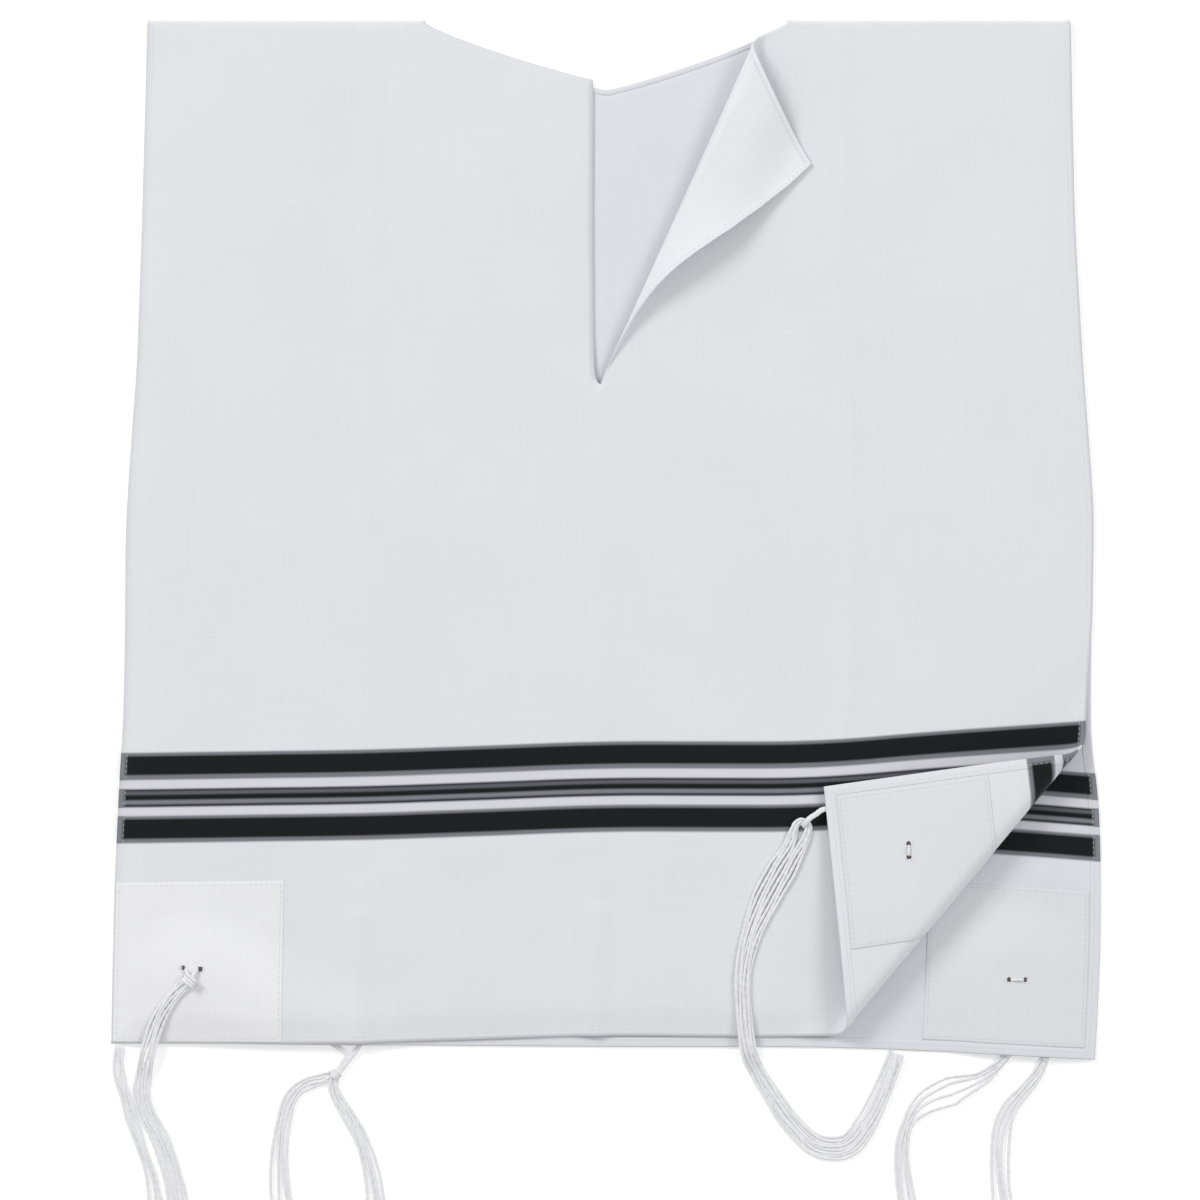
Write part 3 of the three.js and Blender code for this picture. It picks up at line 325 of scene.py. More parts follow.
fold_length = np.hypot(FOLD_SIDE_END[0] - FOLD_HEM_END[0], FOLD_SIDE_END[1] - FOLD_HEM_END[1])
fold_out = np.array([FOLD_SIDE_END[1] - FOLD_HEM_END[1],
                     FOLD_HEM_END[0] - FOLD_SIDE_END[0]]) / fold_length
slit_foot = np.array(lay_front(*SLIT_BOTTOM))


def past_fold(x, y):
    """Distance past the line where the corner starts to roll up."""
    return (x - FOLD_HEM_END[0]) * fold_out[0] + (y - FOLD_HEM_END[1]) * fold_out[1] + FOLD_ROLL


def rolled(distance, radius, offset, rests, settles, power):
    """Out and up of a point past a roll's start: half a circle, then back and slowly down."""
    turn = np.clip(distance / radius, 0, np.pi)
    back = np.maximum(0, distance - np.pi * radius)
    drop = np.maximum(0, (2 * radius - rests) * smooth(back / settles) ** power)
    return ((radius - offset) * np.sin(turn) - back,
            radius - (radius - offset) * np.cos(turn) - drop)


def folded_back(arc, reach, offset):
    """Out and up of a point of the lapel: round its roll by the whole turn for that distance
    from the slit's foot, then straight on, sinking where it lies over flat."""
    radius = np.hypot(read(LAPEL_SHAPE, reach, 2), LAPEL_TIGHTEST)
    whole = np.radians(read(LAPEL_SHAPE, reach, 3))
    turn = np.clip(arc / radius, 0, whole)
    straight = np.maximum(0, arc - radius * whole)
    over = smooth((whole - np.radians(LAPEL_OVER[0]))
                  / np.radians(LAPEL_OVER[1] - LAPEL_OVER[0]))
    drop = np.maximum(0, 2 * radius - LAPEL_RESTS) * smooth(straight / LAPEL_SETTLES) ** 2 * over
    return ((radius - offset) * np.sin(turn) + straight * np.cos(turn),
            radius - (radius - offset) * np.cos(turn) + straight * np.sin(turn) - drop)


def front_point(u, v, offset):
    """The laid cloth's middle surface moved by offset along its normal: up where it is flat,
    round the shoulder, up and over in the lapel and in the turned-up corner."""
    x, y = lay_front(u, v)
    past = past_fold(x, y)
    flat = smooth(-past / FLAT_MARGIN)
    point = np.stack([x, y, FRONT_MID + offset + rise_at(x, y)
                      + (creases_at(FRONT_CREASES, u, v) - sunk(u, v, y)) * flat], -1)
    out, up = rolled(past, FOLD_ROLL, offset, FLAP_RESTS, FLAP_SETTLES, 1)
    corner = np.stack([x + (out - past) * fold_out[0], y + (out - past) * fold_out[1],
                       FRONT_MID + up + 0 * x], -1)
    point = np.where((past > 0)[..., None], corner, point)
    dx, dy = x - slit_foot[0], y - slit_foot[1]
    reach = np.maximum(np.hypot(dx, dy), SAME_PLACE)
    start = np.radians(LAPEL_FOLD) + read(LAPEL_SHAPE, reach, 2) / reach
    arc = (start - np.arctan2(dx, dy)) * reach
    out, up = folded_back(arc, reach, offset)
    bearing = start - out / reach
    lapel = np.stack([slit_foot[0] + reach * np.sin(bearing),
                      slit_foot[1] + reach * np.cos(bearing), FRONT_MID + up + 0 * x], -1)
    turned = (u > SLIT_BOTTOM[0] + SAME_PLACE) & (v > SLIT_BOTTOM[1] + SAME_PLACE) & (arc > 0)
    point = np.where(turned[..., None], lapel, point)
    turn = np.maximum(0, y - SHOULDER_START) / SHOULDER_ROLL
    reach = SHOULDER_ROLL + offset
    shoulder = np.stack([x, SHOULDER_START + reach * np.sin(turn),
                         FRONT_MID - SHOULDER_ROLL + reach * np.cos(turn)], -1)
    return np.where((y > SHOULDER_START)[..., None] & ~turned[..., None], shoulder, point)


def neck_edge(u, depth):
    """Height of the neckline: a rounded drop below the shoulder line, deepest at its middle."""
    step = np.clip(np.abs(u - NECK_CENTRE) / NECK_HALF, 0, 1)
    return NECK_TOP - depth * (1 - step ** NECK_ROUNDNESS) ** (1 / NECK_ROUNDNESS)


def scooped(u, v):
    """Moves cloth beside the slit so that its right edge has the lapel's curved cut: bearings
    about the slit's foot are spread between the curved edge and a far bearing."""
    du, dv = u - SLIT_BOTTOM[0], v - SLIT_BOTTOM[1]
    reach = np.hypot(du, dv)
    bearing = np.degrees(np.arctan2(du, dv))
    edge = read(LAPEL_SHAPE, reach, 1)
    share = (SCOOP_BEARING - bearing) / (SCOOP_BEARING - LAPEL_EDGE)
    moved = np.radians(SCOOP_BEARING - share * (SCOOP_BEARING - edge))
    beside = (bearing < SCOOP_BEARING) & (reach > SAME_PLACE)
    return (np.where(beside, SLIT_BOTTOM[0] + reach * np.sin(moved), u),
            np.where(beside, SLIT_BOTTOM[1] + reach * np.cos(moved), v))


def steps(*stops):
    """Even steps between stops given as place, then wanted step length and next place."""
    found = [np.array([stops[0]], float)]
    for start, step, end in zip(stops[0::2], stops[1::2], stops[2::2]):
        count = max(1, int(np.ceil(abs(end - start) / step)))
        found.append(np.linspace(start, end, count + 1)[1:])
    return np.concatenate(found)


def grid(first, second):
    """Four-sided faces of a grid of points, given as arrays of the two cloth distances."""
    rows, columns = first.shape
    index = np.arange(rows * columns).reshape(rows, columns)
    faces = np.stack([index[:-1, :-1], index[1:, :-1], index[1:, 1:], index[:-1, 1:]], -1)
    return np.stack([first.ravel(), second.ravel()], -1), faces.reshape(-1, 4)


def weld(blocks):
    """Joins grids into one: points at the same place on the cloth become one point."""
    points = np.concatenate([block[0] for block in blocks])
    starts = np.cumsum([0] + [len(block[0]) for block in blocks])
    faces = np.concatenate([block[1] + start for block, start in zip(blocks, starts)])
    _, first, number = np.unique(np.round(points, 3), axis=0, return_index=True,
                                 return_inverse=True)
    return points[first], number.reshape(-1)[faces]


def shell(cloth, point, lower, upper):
    """A closed thin wall: the cloth's faces on both of its sides, and a band round each edge."""
    flat, faces = cloth
    area = (np.roll(flat[faces], -1, 1) * [[[1, -1]]] * flat[faces][..., ::-1]).sum((1, 2))
    faces = np.where((area > 0)[:, None], faces[:, ::-1], faces)
    total = len(flat)
    edges = np.stack([faces, np.roll(faces, -1, 1)], -1).reshape(-1, 2)
    edges = edges[edges[:, 0] != edges[:, 1]]
    rim = edges[~np.isin(edges[:, 1] * total + edges[:, 0], edges[:, 0] * total + edges[:, 1])]
    band = np.stack([rim[:, 0], rim[:, 1], rim[:, 1] + total, rim[:, 0] + total], -1)
    points = np.concatenate([point(flat[:, 0], flat[:, 1], lower),
                             point(flat[:, 0], flat[:, 1], upper)])
    return points, np.concatenate([faces[:, ::-1], faces + total, band]), np.tile(flat, (2, 1))


def new_piece(name, form, material, node=None):
    """Makes an object from points in millimetres, faces and cloth distances, lets it ride, and
    hides the node that it stands for."""
    points, faces, flat = form
    lists = [[n for i, n in enumerate(face) if n != face[i - 1]] for face in faces.tolist()]
    mesh = bpy.data.meshes.new(name)
    mesh.from_pydata((points / 1000).tolist(), [], [face for face in lists if len(face) > 2])
    corner = np.zeros(len(mesh.loops), int)
    mesh.loops.foreach_get("vertex_index", corner)
    mesh.uv_layers.new(name="cloth").data.foreach_set("uv", (flat[corner] / 1000).ravel())
    mesh.polygons.foreach_set("use_smooth", np.ones(len(mesh.polygons), bool))
    mesh.materials.append(material)
    piece = bpy.data.objects.new(name, mesh)
    bpy.context.scene.collection.objects.link(piece)
    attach(piece, "root")
    if node:
        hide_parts(node)
    return piece


def woven_wool(name, white, stripes, lapel=False):
    """A wool cloth material: bands of colour up the cloth, uneven yarn and a plain weave. For the
    lapel, light cloth gets painted light: a little whiter where the lapel doubles it, at small
    bearings from the slit's foot."""
    cloth = new_material(name)
    place = add(cloth, "UVMap", uv_map="cloth")
    split = add(cloth, "SeparateXYZ", {0: place.outputs[0]})
    across, along = split.outputs["X"], split.outputs["Y"]
    other = add(cloth, "Math", {0: CLOTH_WIDTH / 1000, 1: across}, operation="SUBTRACT")
    inward = add(cloth, "Math", {0: across, 1: other.outputs[0]}, operation="MINIMUM")
    colour = linear(white)[:3]
    if stripes:
        height = add(cloth, "MapRange", {0: along, 1: STRIPES_FROM / 1000, 2: STRIPES_TO / 1000})
        ramp = add(cloth, "ValToRGB", {0: height.outputs[0]})
        bands = ramp.color_ramp.elements
        bands[0].color = linear(white)
        bands.remove(bands[1])
        for (edge, below), (_, above) in zip(stripes, stripes[1:]):
            for shift, shade in ((-BAND_SOFTNESS, below), (BAND_SOFTNESS, above)):
                spot = (edge + shift - STRIPES_FROM) / (STRIPES_TO - STRIPES_FROM)
                bands.new(spot).color = linear(shade)
        edge = add(cloth, "MapRange", {
            0: inward.outputs[0], 1: SELVEDGE[0] / 1000, 2: SELVEDGE[1] / 1000})
        dark = add(cloth, "RGBToBW", {0: ramp.outputs[0]})
        woven = add(cloth, "Math", {0: dark.outputs[0], 1: DARK_BAND}, operation="LESS_THAN")
        faded = add(cloth, "Math", {0: 1.0, 1: edge.outputs[0]}, operation="SUBTRACT")
        share = add(cloth, "Math", {0: faded.outputs[0], 1: woven.outputs[0]},
                    operation="MULTIPLY")
        mixed = add(cloth, "Mix", {0: share.outputs[0], 6: ramp.outputs[0],
                                   7: linear(SELVEDGE_GRAY)}, data_type="RGBA")
        colour = mixed.outputs[2]
    cloudy = add(cloth, "TexNoise", {0: place.outputs[0], "Scale": 16, "Detail": 3})
    shade = add(cloth, "MapRange", {0: cloudy.outputs[0], 1: 0.3, 2: 0.7,
                                    3: CLOUD_SHADES[0], 4: CLOUD_SHADES[1]})
    yarns = []
    for stretch in ((*SLUBS_A_METRE, 1), (*SLUBS_A_METRE[::-1], 1)):
        drawn = add(cloth, "Mapping", {0: place.outputs[0], "Scale": stretch})
        yarns.append(add(cloth, "TexNoise", {0: drawn.outputs[0], "Scale": 1, "Detail": 2}))
    slubs = add(cloth, "Math", {0: yarns[0].outputs[0], 1: yarns[1].outputs[0]},
                operation="ADD")
    slub_shade = add(cloth, "MapRange", {0: slubs.outputs[0], 1: 0.7, 2: 1.3,
                                         3: SLUB_SHADES[0], 4: SLUB_SHADES[1]})
    tone = add(cloth, "Math", {0: shade.outputs[0], 1: slub_shade.outputs[0]},
               operation="MULTIPLY")
    # Painted light: right of the slit's foot and at small bearings, the tone is made a little
    # whiter where the lapel doubles the cloth.
    if lapel:
        away = [add(cloth, "Math", {0: distance, 1: foot / 1000}, operation="SUBTRACT")
                for distance, foot in zip((across, along), SLIT_BOTTOM)]
        bearing = add(cloth, "Math", {0: away[0].outputs[0], 1: away[1].outputs[0]},
                      operation="ARCTAN2")
        turned = add(cloth, "MapRange", {
            0: bearing.outputs[0], 1: np.radians(LAPEL_LIGHT_BEARINGS[0]),
            2: np.radians(LAPEL_LIGHT_BEARINGS[1]), 3: LAPEL_PAINTED_LIGHT, 4: 0.0})
        right = add(cloth, "Math", {0: away[0].outputs[0], 1: 0.0}, operation="GREATER_THAN")
        painted_lapel_light = add(cloth, "Math", {0: turned.outputs[0], 1: right.outputs[0], 2: 1.0},
                    operation="MULTIPLY_ADD")
        tone = add(cloth, "Math", {0: tone.outputs[0], 1: painted_lapel_light.outputs[0]},
                   operation="MULTIPLY")
    toned = add(cloth, "VectorMath", {0: colour, "Scale": tone.outputs[0]}, operation="SCALE")
    waves = []
    for distance in (across, along):
        angle = add(cloth, "Math", {0: distance, 1: 2000 * np.pi / THREAD_MM},
                    operation="MULTIPLY")
        waves.append(add(cloth, "Math", {0: angle.outputs[0]}, operation="SINE"))
    weave = add(cloth, "Math", {0: waves[0].outputs[0], 1: waves[1].outputs[0]},
                operation="MULTIPLY")
    relief = add(cloth, "Math", {0: weave.outputs[0], 1: WEAVE_SHARE, 2: slubs.outputs[0]},
                 operation="MULTIPLY_ADD")
    bump = add(cloth, "Bump", {"Strength": 0.35, "Distance": WEAVE_DEPTH,
                               "Height": relief.outputs[0]})
    shader = add(cloth, "BsdfPrincipled", {
        "Base Color": toned.outputs[0], "Roughness": 0.92, "Specular IOR Level": 0.2,
        "Sheen Weight": 0.15, "Sheen Roughness": 0.5, "Normal": bump.outputs[0]})
    add(cloth, "OutputMaterial", {"Surface": shader.outputs[0]})
    return cloth


# Light worsted wool in plain weave: matt and white, with uneven yarn that shows as faint lines
# both ways. The yarns are half a millimetre apart, drawn at a millimetre so that they show.
# Its lapel is given painted light: a little whiter where the cloth lies doubled.
wool = woven_wool("woven_striped_wool", WOOL_WHITE, STRIPES, lapel=True)

left_end = NECK_CENTRE - NECK_HALF
slit_lean = SLIT_LEFT / SLIT_BOTTOM[0]
columns = np.union1d(steps(0, COARSE, SLIT_BOTTOM[0], COARSE, FINE_FROM, FINE, CLOTH_WIDTH),
                     [left_end / slit_lean])
rows = steps(0, FINE, FINE_TO, COARSE, SLIT_BOTTOM[1])
below_slit = grid(*np.meshgrid(columns, rows, indexing="ij"))
left_columns = columns[columns <= SLIT_BOTTOM[0]]
left_rows = steps(0, 0.005, 0.06, COARSE / (NECK_TOP - SLIT_BOTTOM[1]), 1)
left_u, part = np.meshgrid(left_columns, left_rows, indexing="ij")
left_v = SLIT_BOTTOM[1] + part * (
    neck_edge(left_u * slit_lean, FRONT_NECK_DEPTH) - SLIT_BOTTOM[1])
left_of_slit = grid(left_u * read(SLIT_FOOT, left_v, 1) / SLIT_BOTTOM[0], left_v)

right_end = NECK_CENTRE + NECK_HALF
neck_u = steps(right_end, NECK_STEP, SLIT_RIGHT)
side_v = steps(SLIT_BOTTOM[1], COARSE, NECK_TOP)
shoulder_u = steps(CLOTH_WIDTH, COARSE, right_end)
outer_u = np.concatenate([np.full(len(side_v), CLOTH_WIDTH), shoulder_u[1:], neck_u[1:]])
outer_v = np.concatenate([side_v, np.full(len(shoulder_u) - 1, NECK_TOP),
                          neck_edge(neck_u[1:], FRONT_NECK_DEPTH)])
right_columns = columns[columns >= SLIT_BOTTOM[0]]
part, spoke_u = np.meshgrid((right_columns - SLIT_BOTTOM[0]) / (CLOTH_WIDTH - SLIT_BOTTOM[0]),
                            outer_u, indexing="ij")
right_of_slit = grid(*scooped(SLIT_BOTTOM[0] + part * (spoke_u - SLIT_BOTTOM[0]),
                              SLIT_BOTTOM[1] + part * (outer_v[None, :] - SLIT_BOTTOM[1])))

roll_v = NECK_TOP + np.pi * SHOULDER_ROLL * np.linspace(0, 1, SHOULDER_STEPS + 1)
left_top = left_columns * slit_lean
shoulders = [grid(*np.meshgrid(tops, roll_v, indexing="ij")) for tops in (
    left_top[left_top <= left_end + SAME_PLACE], shoulder_u[::-1])]
front_cut = weld([below_slit, left_of_slit, right_of_slit, *shoulders])

EYELET_HOLE = 1.8
EYELETS = {  # x and y of the two eyelets of each corner
    "front_left": [(-215.8, -221.4), (-206.9, -221.9)],
    "front_right": [(152.2, -158.0), (152.2, -164.8)],
    "back_left": [(-214.3, -229.5), (-205.7, -229.5)],
    "back_right": [(203.6, -227.5), (212.2, -227.5)]}
FLAP_OVER = 8


def pierced(cloth, point, corners, lowest=-1, hole=EYELET_HOLE):
    """The cloth without the faces whose middle lies within an eyelet, above a lowest height."""
    middle = cloth[0][cloth[1]].mean(1)
    laid = point(middle[:, 0], middle[:, 1], 0.0)
    kept = np.ones(len(middle), bool)
    for corner in corners:
        for x, y in EYELETS[corner]:
            away = np.hypot(laid[:, 0] - x, laid[:, 1] - y)
            kept &= (away > hole) | (laid[:, 2] < lowest)
    return cloth[0], cloth[1][kept]


front_shape = pierced(pierced(front_cut, front_point, ["front_left"]), front_point,
                      ["front_right"], FLAP_OVER)
front_cloth = new_piece("front_cloth", shell(front_shape, front_point, -CLOTH_HALF, CLOTH_HALF),
                        wool, "front_panel")

# Back panel. The other half of the same length of wool, beyond the shoulder fold. It lies flat
# on its outer face, with its inner face up, and shows in the slit and beside the turned-up corner.
BACK_SIDES = [  # height up the cloth, x of the left edge, x of the right edge
    (0, -251.2, 247.4), (24, -250.8, 248.9), (64, -250.2, 250.4), (105, -249.2, 250.4),
    (138, -247.6, 249.2), (165, -245.8, 245.4), (200, -245, 245.4), (260, -244.6, 246.4),
    (345, -238.8, 240.6), (420, -236.2, 236.6), (520, -234, 235)]
BACK_HEM_RISE = [  # distance across the cloth, how far the hem stands above a straight one
    (0, 0.5), (121, -0.6), (250, -1.6), (368, -1.8), (448, -5.2), (500, -8.2)]
BACK_SKEW_GAIN = 0.45
BACK_NECK_DEPTH = 33.5
BACK_CREASES = [  # u, v at one end, u, v at the other, half width, height
    (376, -20, 377, 130, 3.2, 0.3),
    (440, 96, 500, 90, 7, 0.25),
    (246, 330, 250, 520, 5, 0.3),
    (290, 380, 280, 520, 16, 0.35)]
# Painted shade: the back panel's white is a little duller than the front's.
BACK_SHADED_WHITE = "#DFE0E5"
BACK_STEP = 3.4
BACK_COARSE = 5.5
BACK_FINE_FROM = 360
BACK_FINE_TO = 0.35
BACK_NECK_TRIM = 0.3


def lay_back(u, v):
    """Where a place on the back panel lies: u spread between the side edges, v up from the hem."""
    left, right = (eased(BACK_SIDES, v, side, SIDE_BEND) for side in (1, 2))
    gain = 1 + BACK_SKEW_GAIN * np.minimum(1, v / SKEW_FULL)
    return (left + (right - left) * u / CLOTH_WIDTH,
            HEM_Y + v + eased(BACK_HEM_RISE, u, 1, HEM_BEND) * gain * skew(v))


def back_point(u, v, offset):
    """The laid back panel's middle surface moved up by offset, over buried cords and creases."""
    x, y = lay_back(u, v)
    return np.stack([x, y, BACK_MID + offset + rise_at(x, y)
                     + creases_at(BACK_CREASES, u, v)], -1)


back_u, part = np.meshgrid(
    np.union1d(steps(0, BACK_COARSE, BACK_FINE_FROM, BACK_STEP, CLOTH_WIDTH),
               [left_end, right_end]),
    steps(0, BACK_STEP / NECK_TOP, BACK_FINE_TO, BACK_COARSE / NECK_TOP, 1), indexing="ij")
back_cut = grid(back_u, part * (neck_edge(back_u, BACK_NECK_DEPTH) - BACK_NECK_TRIM))
back_shape = pierced(back_cut, back_point, ["back_left", "back_right"])
# The same wool with the same stripes, with painted shade: a shade duller, since no second layer
# lies under it to send light back.
shaded_back_wool = woven_wool("woven_striped_wool_painted_shade", BACK_SHADED_WHITE,
                       [(edge, BACK_SHADED_WHITE if colour == WOOL_WHITE else colour)
                        for edge, colour in STRIPES])
back_cloth = new_piece("back_cloth", shell(back_shape, back_point, -CLOTH_HALF, CLOTH_HALF),
                       shaded_back_wool, "back_panel")

# Hems. Each panel's side and bottom edges are turned twice to the inner face, five millimetres
# wide, and sewn down with one line of small stitches that shows on both faces.
HEM_THICK = 0.26
HEM_STEP = 2.2
SHARPEST_TURN = 0.6
HEM_PROFILE = [  # distance inwards, share of the thickness: a flat fold with round edges
    (0.0, 0.0), (-0.25, 0.45), (0.25, 0.95), (1.6, 1.0), (3.2, 1.0), (4.5, 0.95),
    (5.0, 0.6), (5.1, 0.0)]
STITCH_LONG = 2.7
STITCH_SHARE = 0.72
STITCH_HALF = 0.13
STITCH_HIGH = 0.07
STITCH_STANDS = 0.06
HEM_SEAM = 3.1


def hem_path(top, seam):
    """Down the left side, along the bottom and up the right side, seam millimetres inside."""
    across = steps(seam, HEM_STEP, CLOTH_WIDTH - seam)
    up = steps(seam, HEM_STEP, top)
    return np.concatenate([
        np.stack([np.full(len(up), seam), up[::-1]], -1),
        np.stack([across, np.full(len(across), seam)], -1)[1:-1],
        np.stack([np.full(len(up), CLOTH_WIDTH - seam), up], -1)])


def inwards(edge):
    """At each point of an edge, the way into the cloth on its left, long enough at corners to
    stay as far from both of the edge's parts."""
    ahead = np.diff(edge, axis=0)
    ahead /= np.linalg.norm(ahead, axis=1, keepdims=True)
    ahead = np.vstack([ahead[:1], ahead, ahead[-1:]])
    both = ahead[:-1] + ahead[1:]
    both /= np.linalg.norm(both, axis=1, keepdims=True)
    long = 1 / np.maximum((both * ahead[1:]).sum(1), SHARPEST_TURN)
    return np.stack([-both[:, 1], both[:, 0]], -1) * long[:, None]


def hem(edge, profile, point, side):
    """The folded strip: a profile carried along the edge, on the inner face, with closed ends."""
    profile = np.array(profile)
    place = edge[:, None, :] + inwards(edge)[:, None, :] * profile[None, :, :1]
    offset = side * (CLOTH_HALF + HEM_THICK * profile[:, 1])[None, :] + 0 * place[..., 0]
    place[..., 0] = np.clip(place[..., 0], profile[:, 0], CLOTH_WIDTH - profile[:, 0])
    place[..., 1] = np.maximum(place[..., 1], profile[:, 0])
    return tube_faces(point(place[..., 0], place[..., 1], offset), place)


def tube_faces(points, flat):
    """Faces round and along rows of points, each row closed on itself, with both ends closed,
    turned so that they look outwards."""
    rings, sides = points.shape[:2]
    index = np.arange(rings * sides).reshape(rings, sides)
    ahead = np.roll(index, -1, 1)
    faces = np.stack([index[:-1], ahead[:-1], ahead[1:], index[1:]], -1).reshape(-1, 4)
    caps = [np.stack([np.full(sides - 2, ring[0]), ring[1:-1], ring[2:], ring[2:]], -1)
            for ring in (index[0][::-1], index[-1])]
    faces = np.concatenate([faces, *caps])
    points, flat = points.reshape(-1, 3), flat.reshape(-1, 2)
    a, b, c, d = (points[faces[:, k]] for k in range(4))
    volume = (np.cross(a, b) * c).sum() + (np.cross(a, c) * d).sum()
    return points, faces if volume > 0 else faces[:, ::-1], flat


def join(forms):
    """Several forms as one list of points, faces and cloth distances."""
    starts = np.cumsum([0] + [len(form[0]) for form in forms])
    return (np.concatenate([form[0] for form in forms]),
            np.concatenate([form[1] + start for form, start in zip(forms, starts)]),
            np.concatenate([form[2] for form in forms]))


def stitches(path, point, offset, outward):
    """A line of stitches: each a slim spindle whose ends dip into the cloth at even steps."""
    run = np.concatenate([[0], np.cumsum(np.hypot(*np.diff(path, axis=0).T))])
    starts = np.arange(0, run[-1] - STITCH_LONG, STITCH_LONG)

    def place_at(distance):
        """The place on the cloth so far along the path."""
        return [np.interp(distance, run, path[:, k]) for k in (0, 1)]

    first = point(*place_at(starts), offset)
    last = point(*place_at(starts + STITCH_LONG * STITCH_SHARE), offset)
    middle_place = place_at(starts + STITCH_LONG * STITCH_SHARE / 2)
    middle = point(*middle_place, offset + outward * STITCH_STANDS)
    up = point(*middle_place, offset + outward * 1.0) - point(*middle_place, offset)
    up /= np.linalg.norm(up, axis=1, keepdims=True)
    ahead = last - first
    aside = np.cross(ahead, up)
    aside /= np.maximum(np.linalg.norm(aside, axis=1, keepdims=True), 1e-9)
    points = np.stack([first, middle + aside * STITCH_HALF, middle + up * STITCH_HIGH,
                       middle - aside * STITCH_HALF, middle - up * STITCH_HIGH, last], 1)
    one = np.array([(0, 2, 1, 1), (0, 3, 2, 2), (0, 4, 3, 3), (0, 1, 4, 4),
                    (5, 1, 2, 2), (5, 2, 3, 3), (5, 3, 4, 4), (5, 4, 1, 1)])
    faces = (one[None] + 6 * np.arange(len(starts))[:, None, None]).reshape(-1, 4)
    flat = np.repeat(np.stack(place_at(starts), -1), 6, 0)
    return points.reshape(-1, 3), faces, flat


def plain_thread(name, colour):
    """A smooth spun thread: one colour with a slight cloudiness."""
    thread = new_material(name)
    place = add(thread, "TexCoord")
    cloudy = add(thread, "TexNoise", {0: place.outputs["Object"], "Scale": 420, "Detail": 2})
    shade = add(thread, "MapRange", {0: cloudy.outputs[0], 1: 0.3, 2: 0.7, 3: 0.93, 4: 1.03})
    toned = add(thread, "VectorMath", {0: linear(colour)[:3], "Scale": shade.outputs[0]},
                operation="SCALE")
    bump = add(thread, "Bump", {"Strength": 0.3, "Distance": 0.0002,
                                "Height": cloudy.outputs[0]})
    shader = add(thread, "BsdfPrincipled", {
        "Base Color": toned.outputs[0], "Roughness": 0.8, "Specular IOR Level": 0.25,
        "Sheen Weight": 0.2, "Normal": bump.outputs[0]})
    add(thread, "OutputMaterial", {"Surface": shader.outputs[0]})
    return thread


# Spun polyester sewing thread: a little glossier and whiter than the wool.
sewing_thread = plain_thread("spun_sewing_thread", "#E6E6EA")

front_hem = new_piece("front_hem", hem(hem_path(NECK_TOP, 0), HEM_PROFILE, front_point, -1),
                      wool, "front_panel")
back_hem = new_piece("back_hem", hem(hem_path(NECK_TOP - 1, 0), HEM_PROFILE, back_point, 1),
                     shaded_back_wool, "back_panel")
seam = hem_path(NECK_TOP, HEM_SEAM)
front_seams = new_piece("front_hem_stitches", join([
    stitches(seam, front_point, CLOTH_HALF, 1),
    stitches(seam, front_point, -CLOTH_HALF - HEM_THICK, -1)]), sewing_thread)
back_seams = new_piece("back_hem_stitches", stitches(
    seam, back_point, CLOTH_HALF + HEM_THICK, 1), sewing_thread)

# Neck hems. The neckline and both edges of the slit are turned to the inner face as well, in a
# strip under three millimetres wide, sewn down close to the fold.
NECK_PROFILE = [  # distance inwards, share of the thickness
    (0.0, 0.0), (-0.2, 0.45), (0.2, 1.0), (1.0, 1.1), (1.9, 1.0), (2.6, 0.6), (2.7, 0.0)]
NECK_SEAM = 1.9
SLIT_HEM_FROM = 9

slit_top = np.array([SLIT_RIGHT, neck_edge(SLIT_RIGHT, FRONT_NECK_DEPTH)])
lapel_reach = steps(np.hypot(*(slit_top - SLIT_BOTTOM)), FINE, SLIT_HEM_FROM)[1:]
lapel_bearing = np.radians(read(LAPEL_SHAPE, lapel_reach, 1))
right_neck = np.concatenate([
    np.stack([neck_u, neck_edge(neck_u, FRONT_NECK_DEPTH)], -1),
    SLIT_BOTTOM + lapel_reach[:, None] * np.stack([np.sin(lapel_bearing),
                                                   np.cos(lapel_bearing)], -1)])
slit_left_top = np.array([SLIT_LEFT, neck_edge(SLIT_LEFT, FRONT_NECK_DEPTH)])
slit_v = steps(SLIT_FOOT[2][0], FINE, slit_left_top[1])
left_neck_u = steps(SLIT_LEFT, NECK_STEP, left_end)[1:]
left_neck = np.concatenate([
    np.stack([read(SLIT_FOOT, slit_v, 1), slit_v], -1),
    np.stack([left_neck_u, neck_edge(left_neck_u, FRONT_NECK_DEPTH)], -1)])
back_neck_u = steps(right_end, NECK_STEP, left_end)
back_neck = np.stack([
    back_neck_u, neck_edge(back_neck_u, BACK_NECK_DEPTH) - BACK_NECK_TRIM], -1)


def clear_of(corner, edge):
    """The edge without its points so near to a corner that the strip there would overlap."""
    away = np.hypot(*(edge - corner).T)
    return edge[(away > 1.1 * NECK_PROFILE[-1][0]) | (away < SAME_PLACE)]


right_neck, left_neck = clear_of(slit_top, right_neck), clear_of(slit_left_top, left_neck)
front_neck_hem = new_piece("front_neck_hem", join([
    hem(edge, NECK_PROFILE, front_point, -1) for edge in (right_neck, left_neck)]),
    wool, "front_panel")
back_neck_hem = new_piece("back_neck_hem", hem(back_neck, NECK_PROFILE, back_point, 1),
                          shaded_back_wool, "back_panel")
front_neck_seams = new_piece("front_neck_stitches", join([
    stitches(edge + NECK_SEAM * inwards(edge), front_point,
             side * (CLOTH_HALF + (HEM_THICK if side < 0 else 0)), side)
    for edge in (right_neck, left_neck) for side in (-1, 1)]), sewing_thread)
back_neck_seam = new_piece("back_neck_stitches", stitches(
    back_neck + NECK_SEAM * inwards(back_neck), back_point, CLOTH_HALF + HEM_THICK, 1),
    sewing_thread)

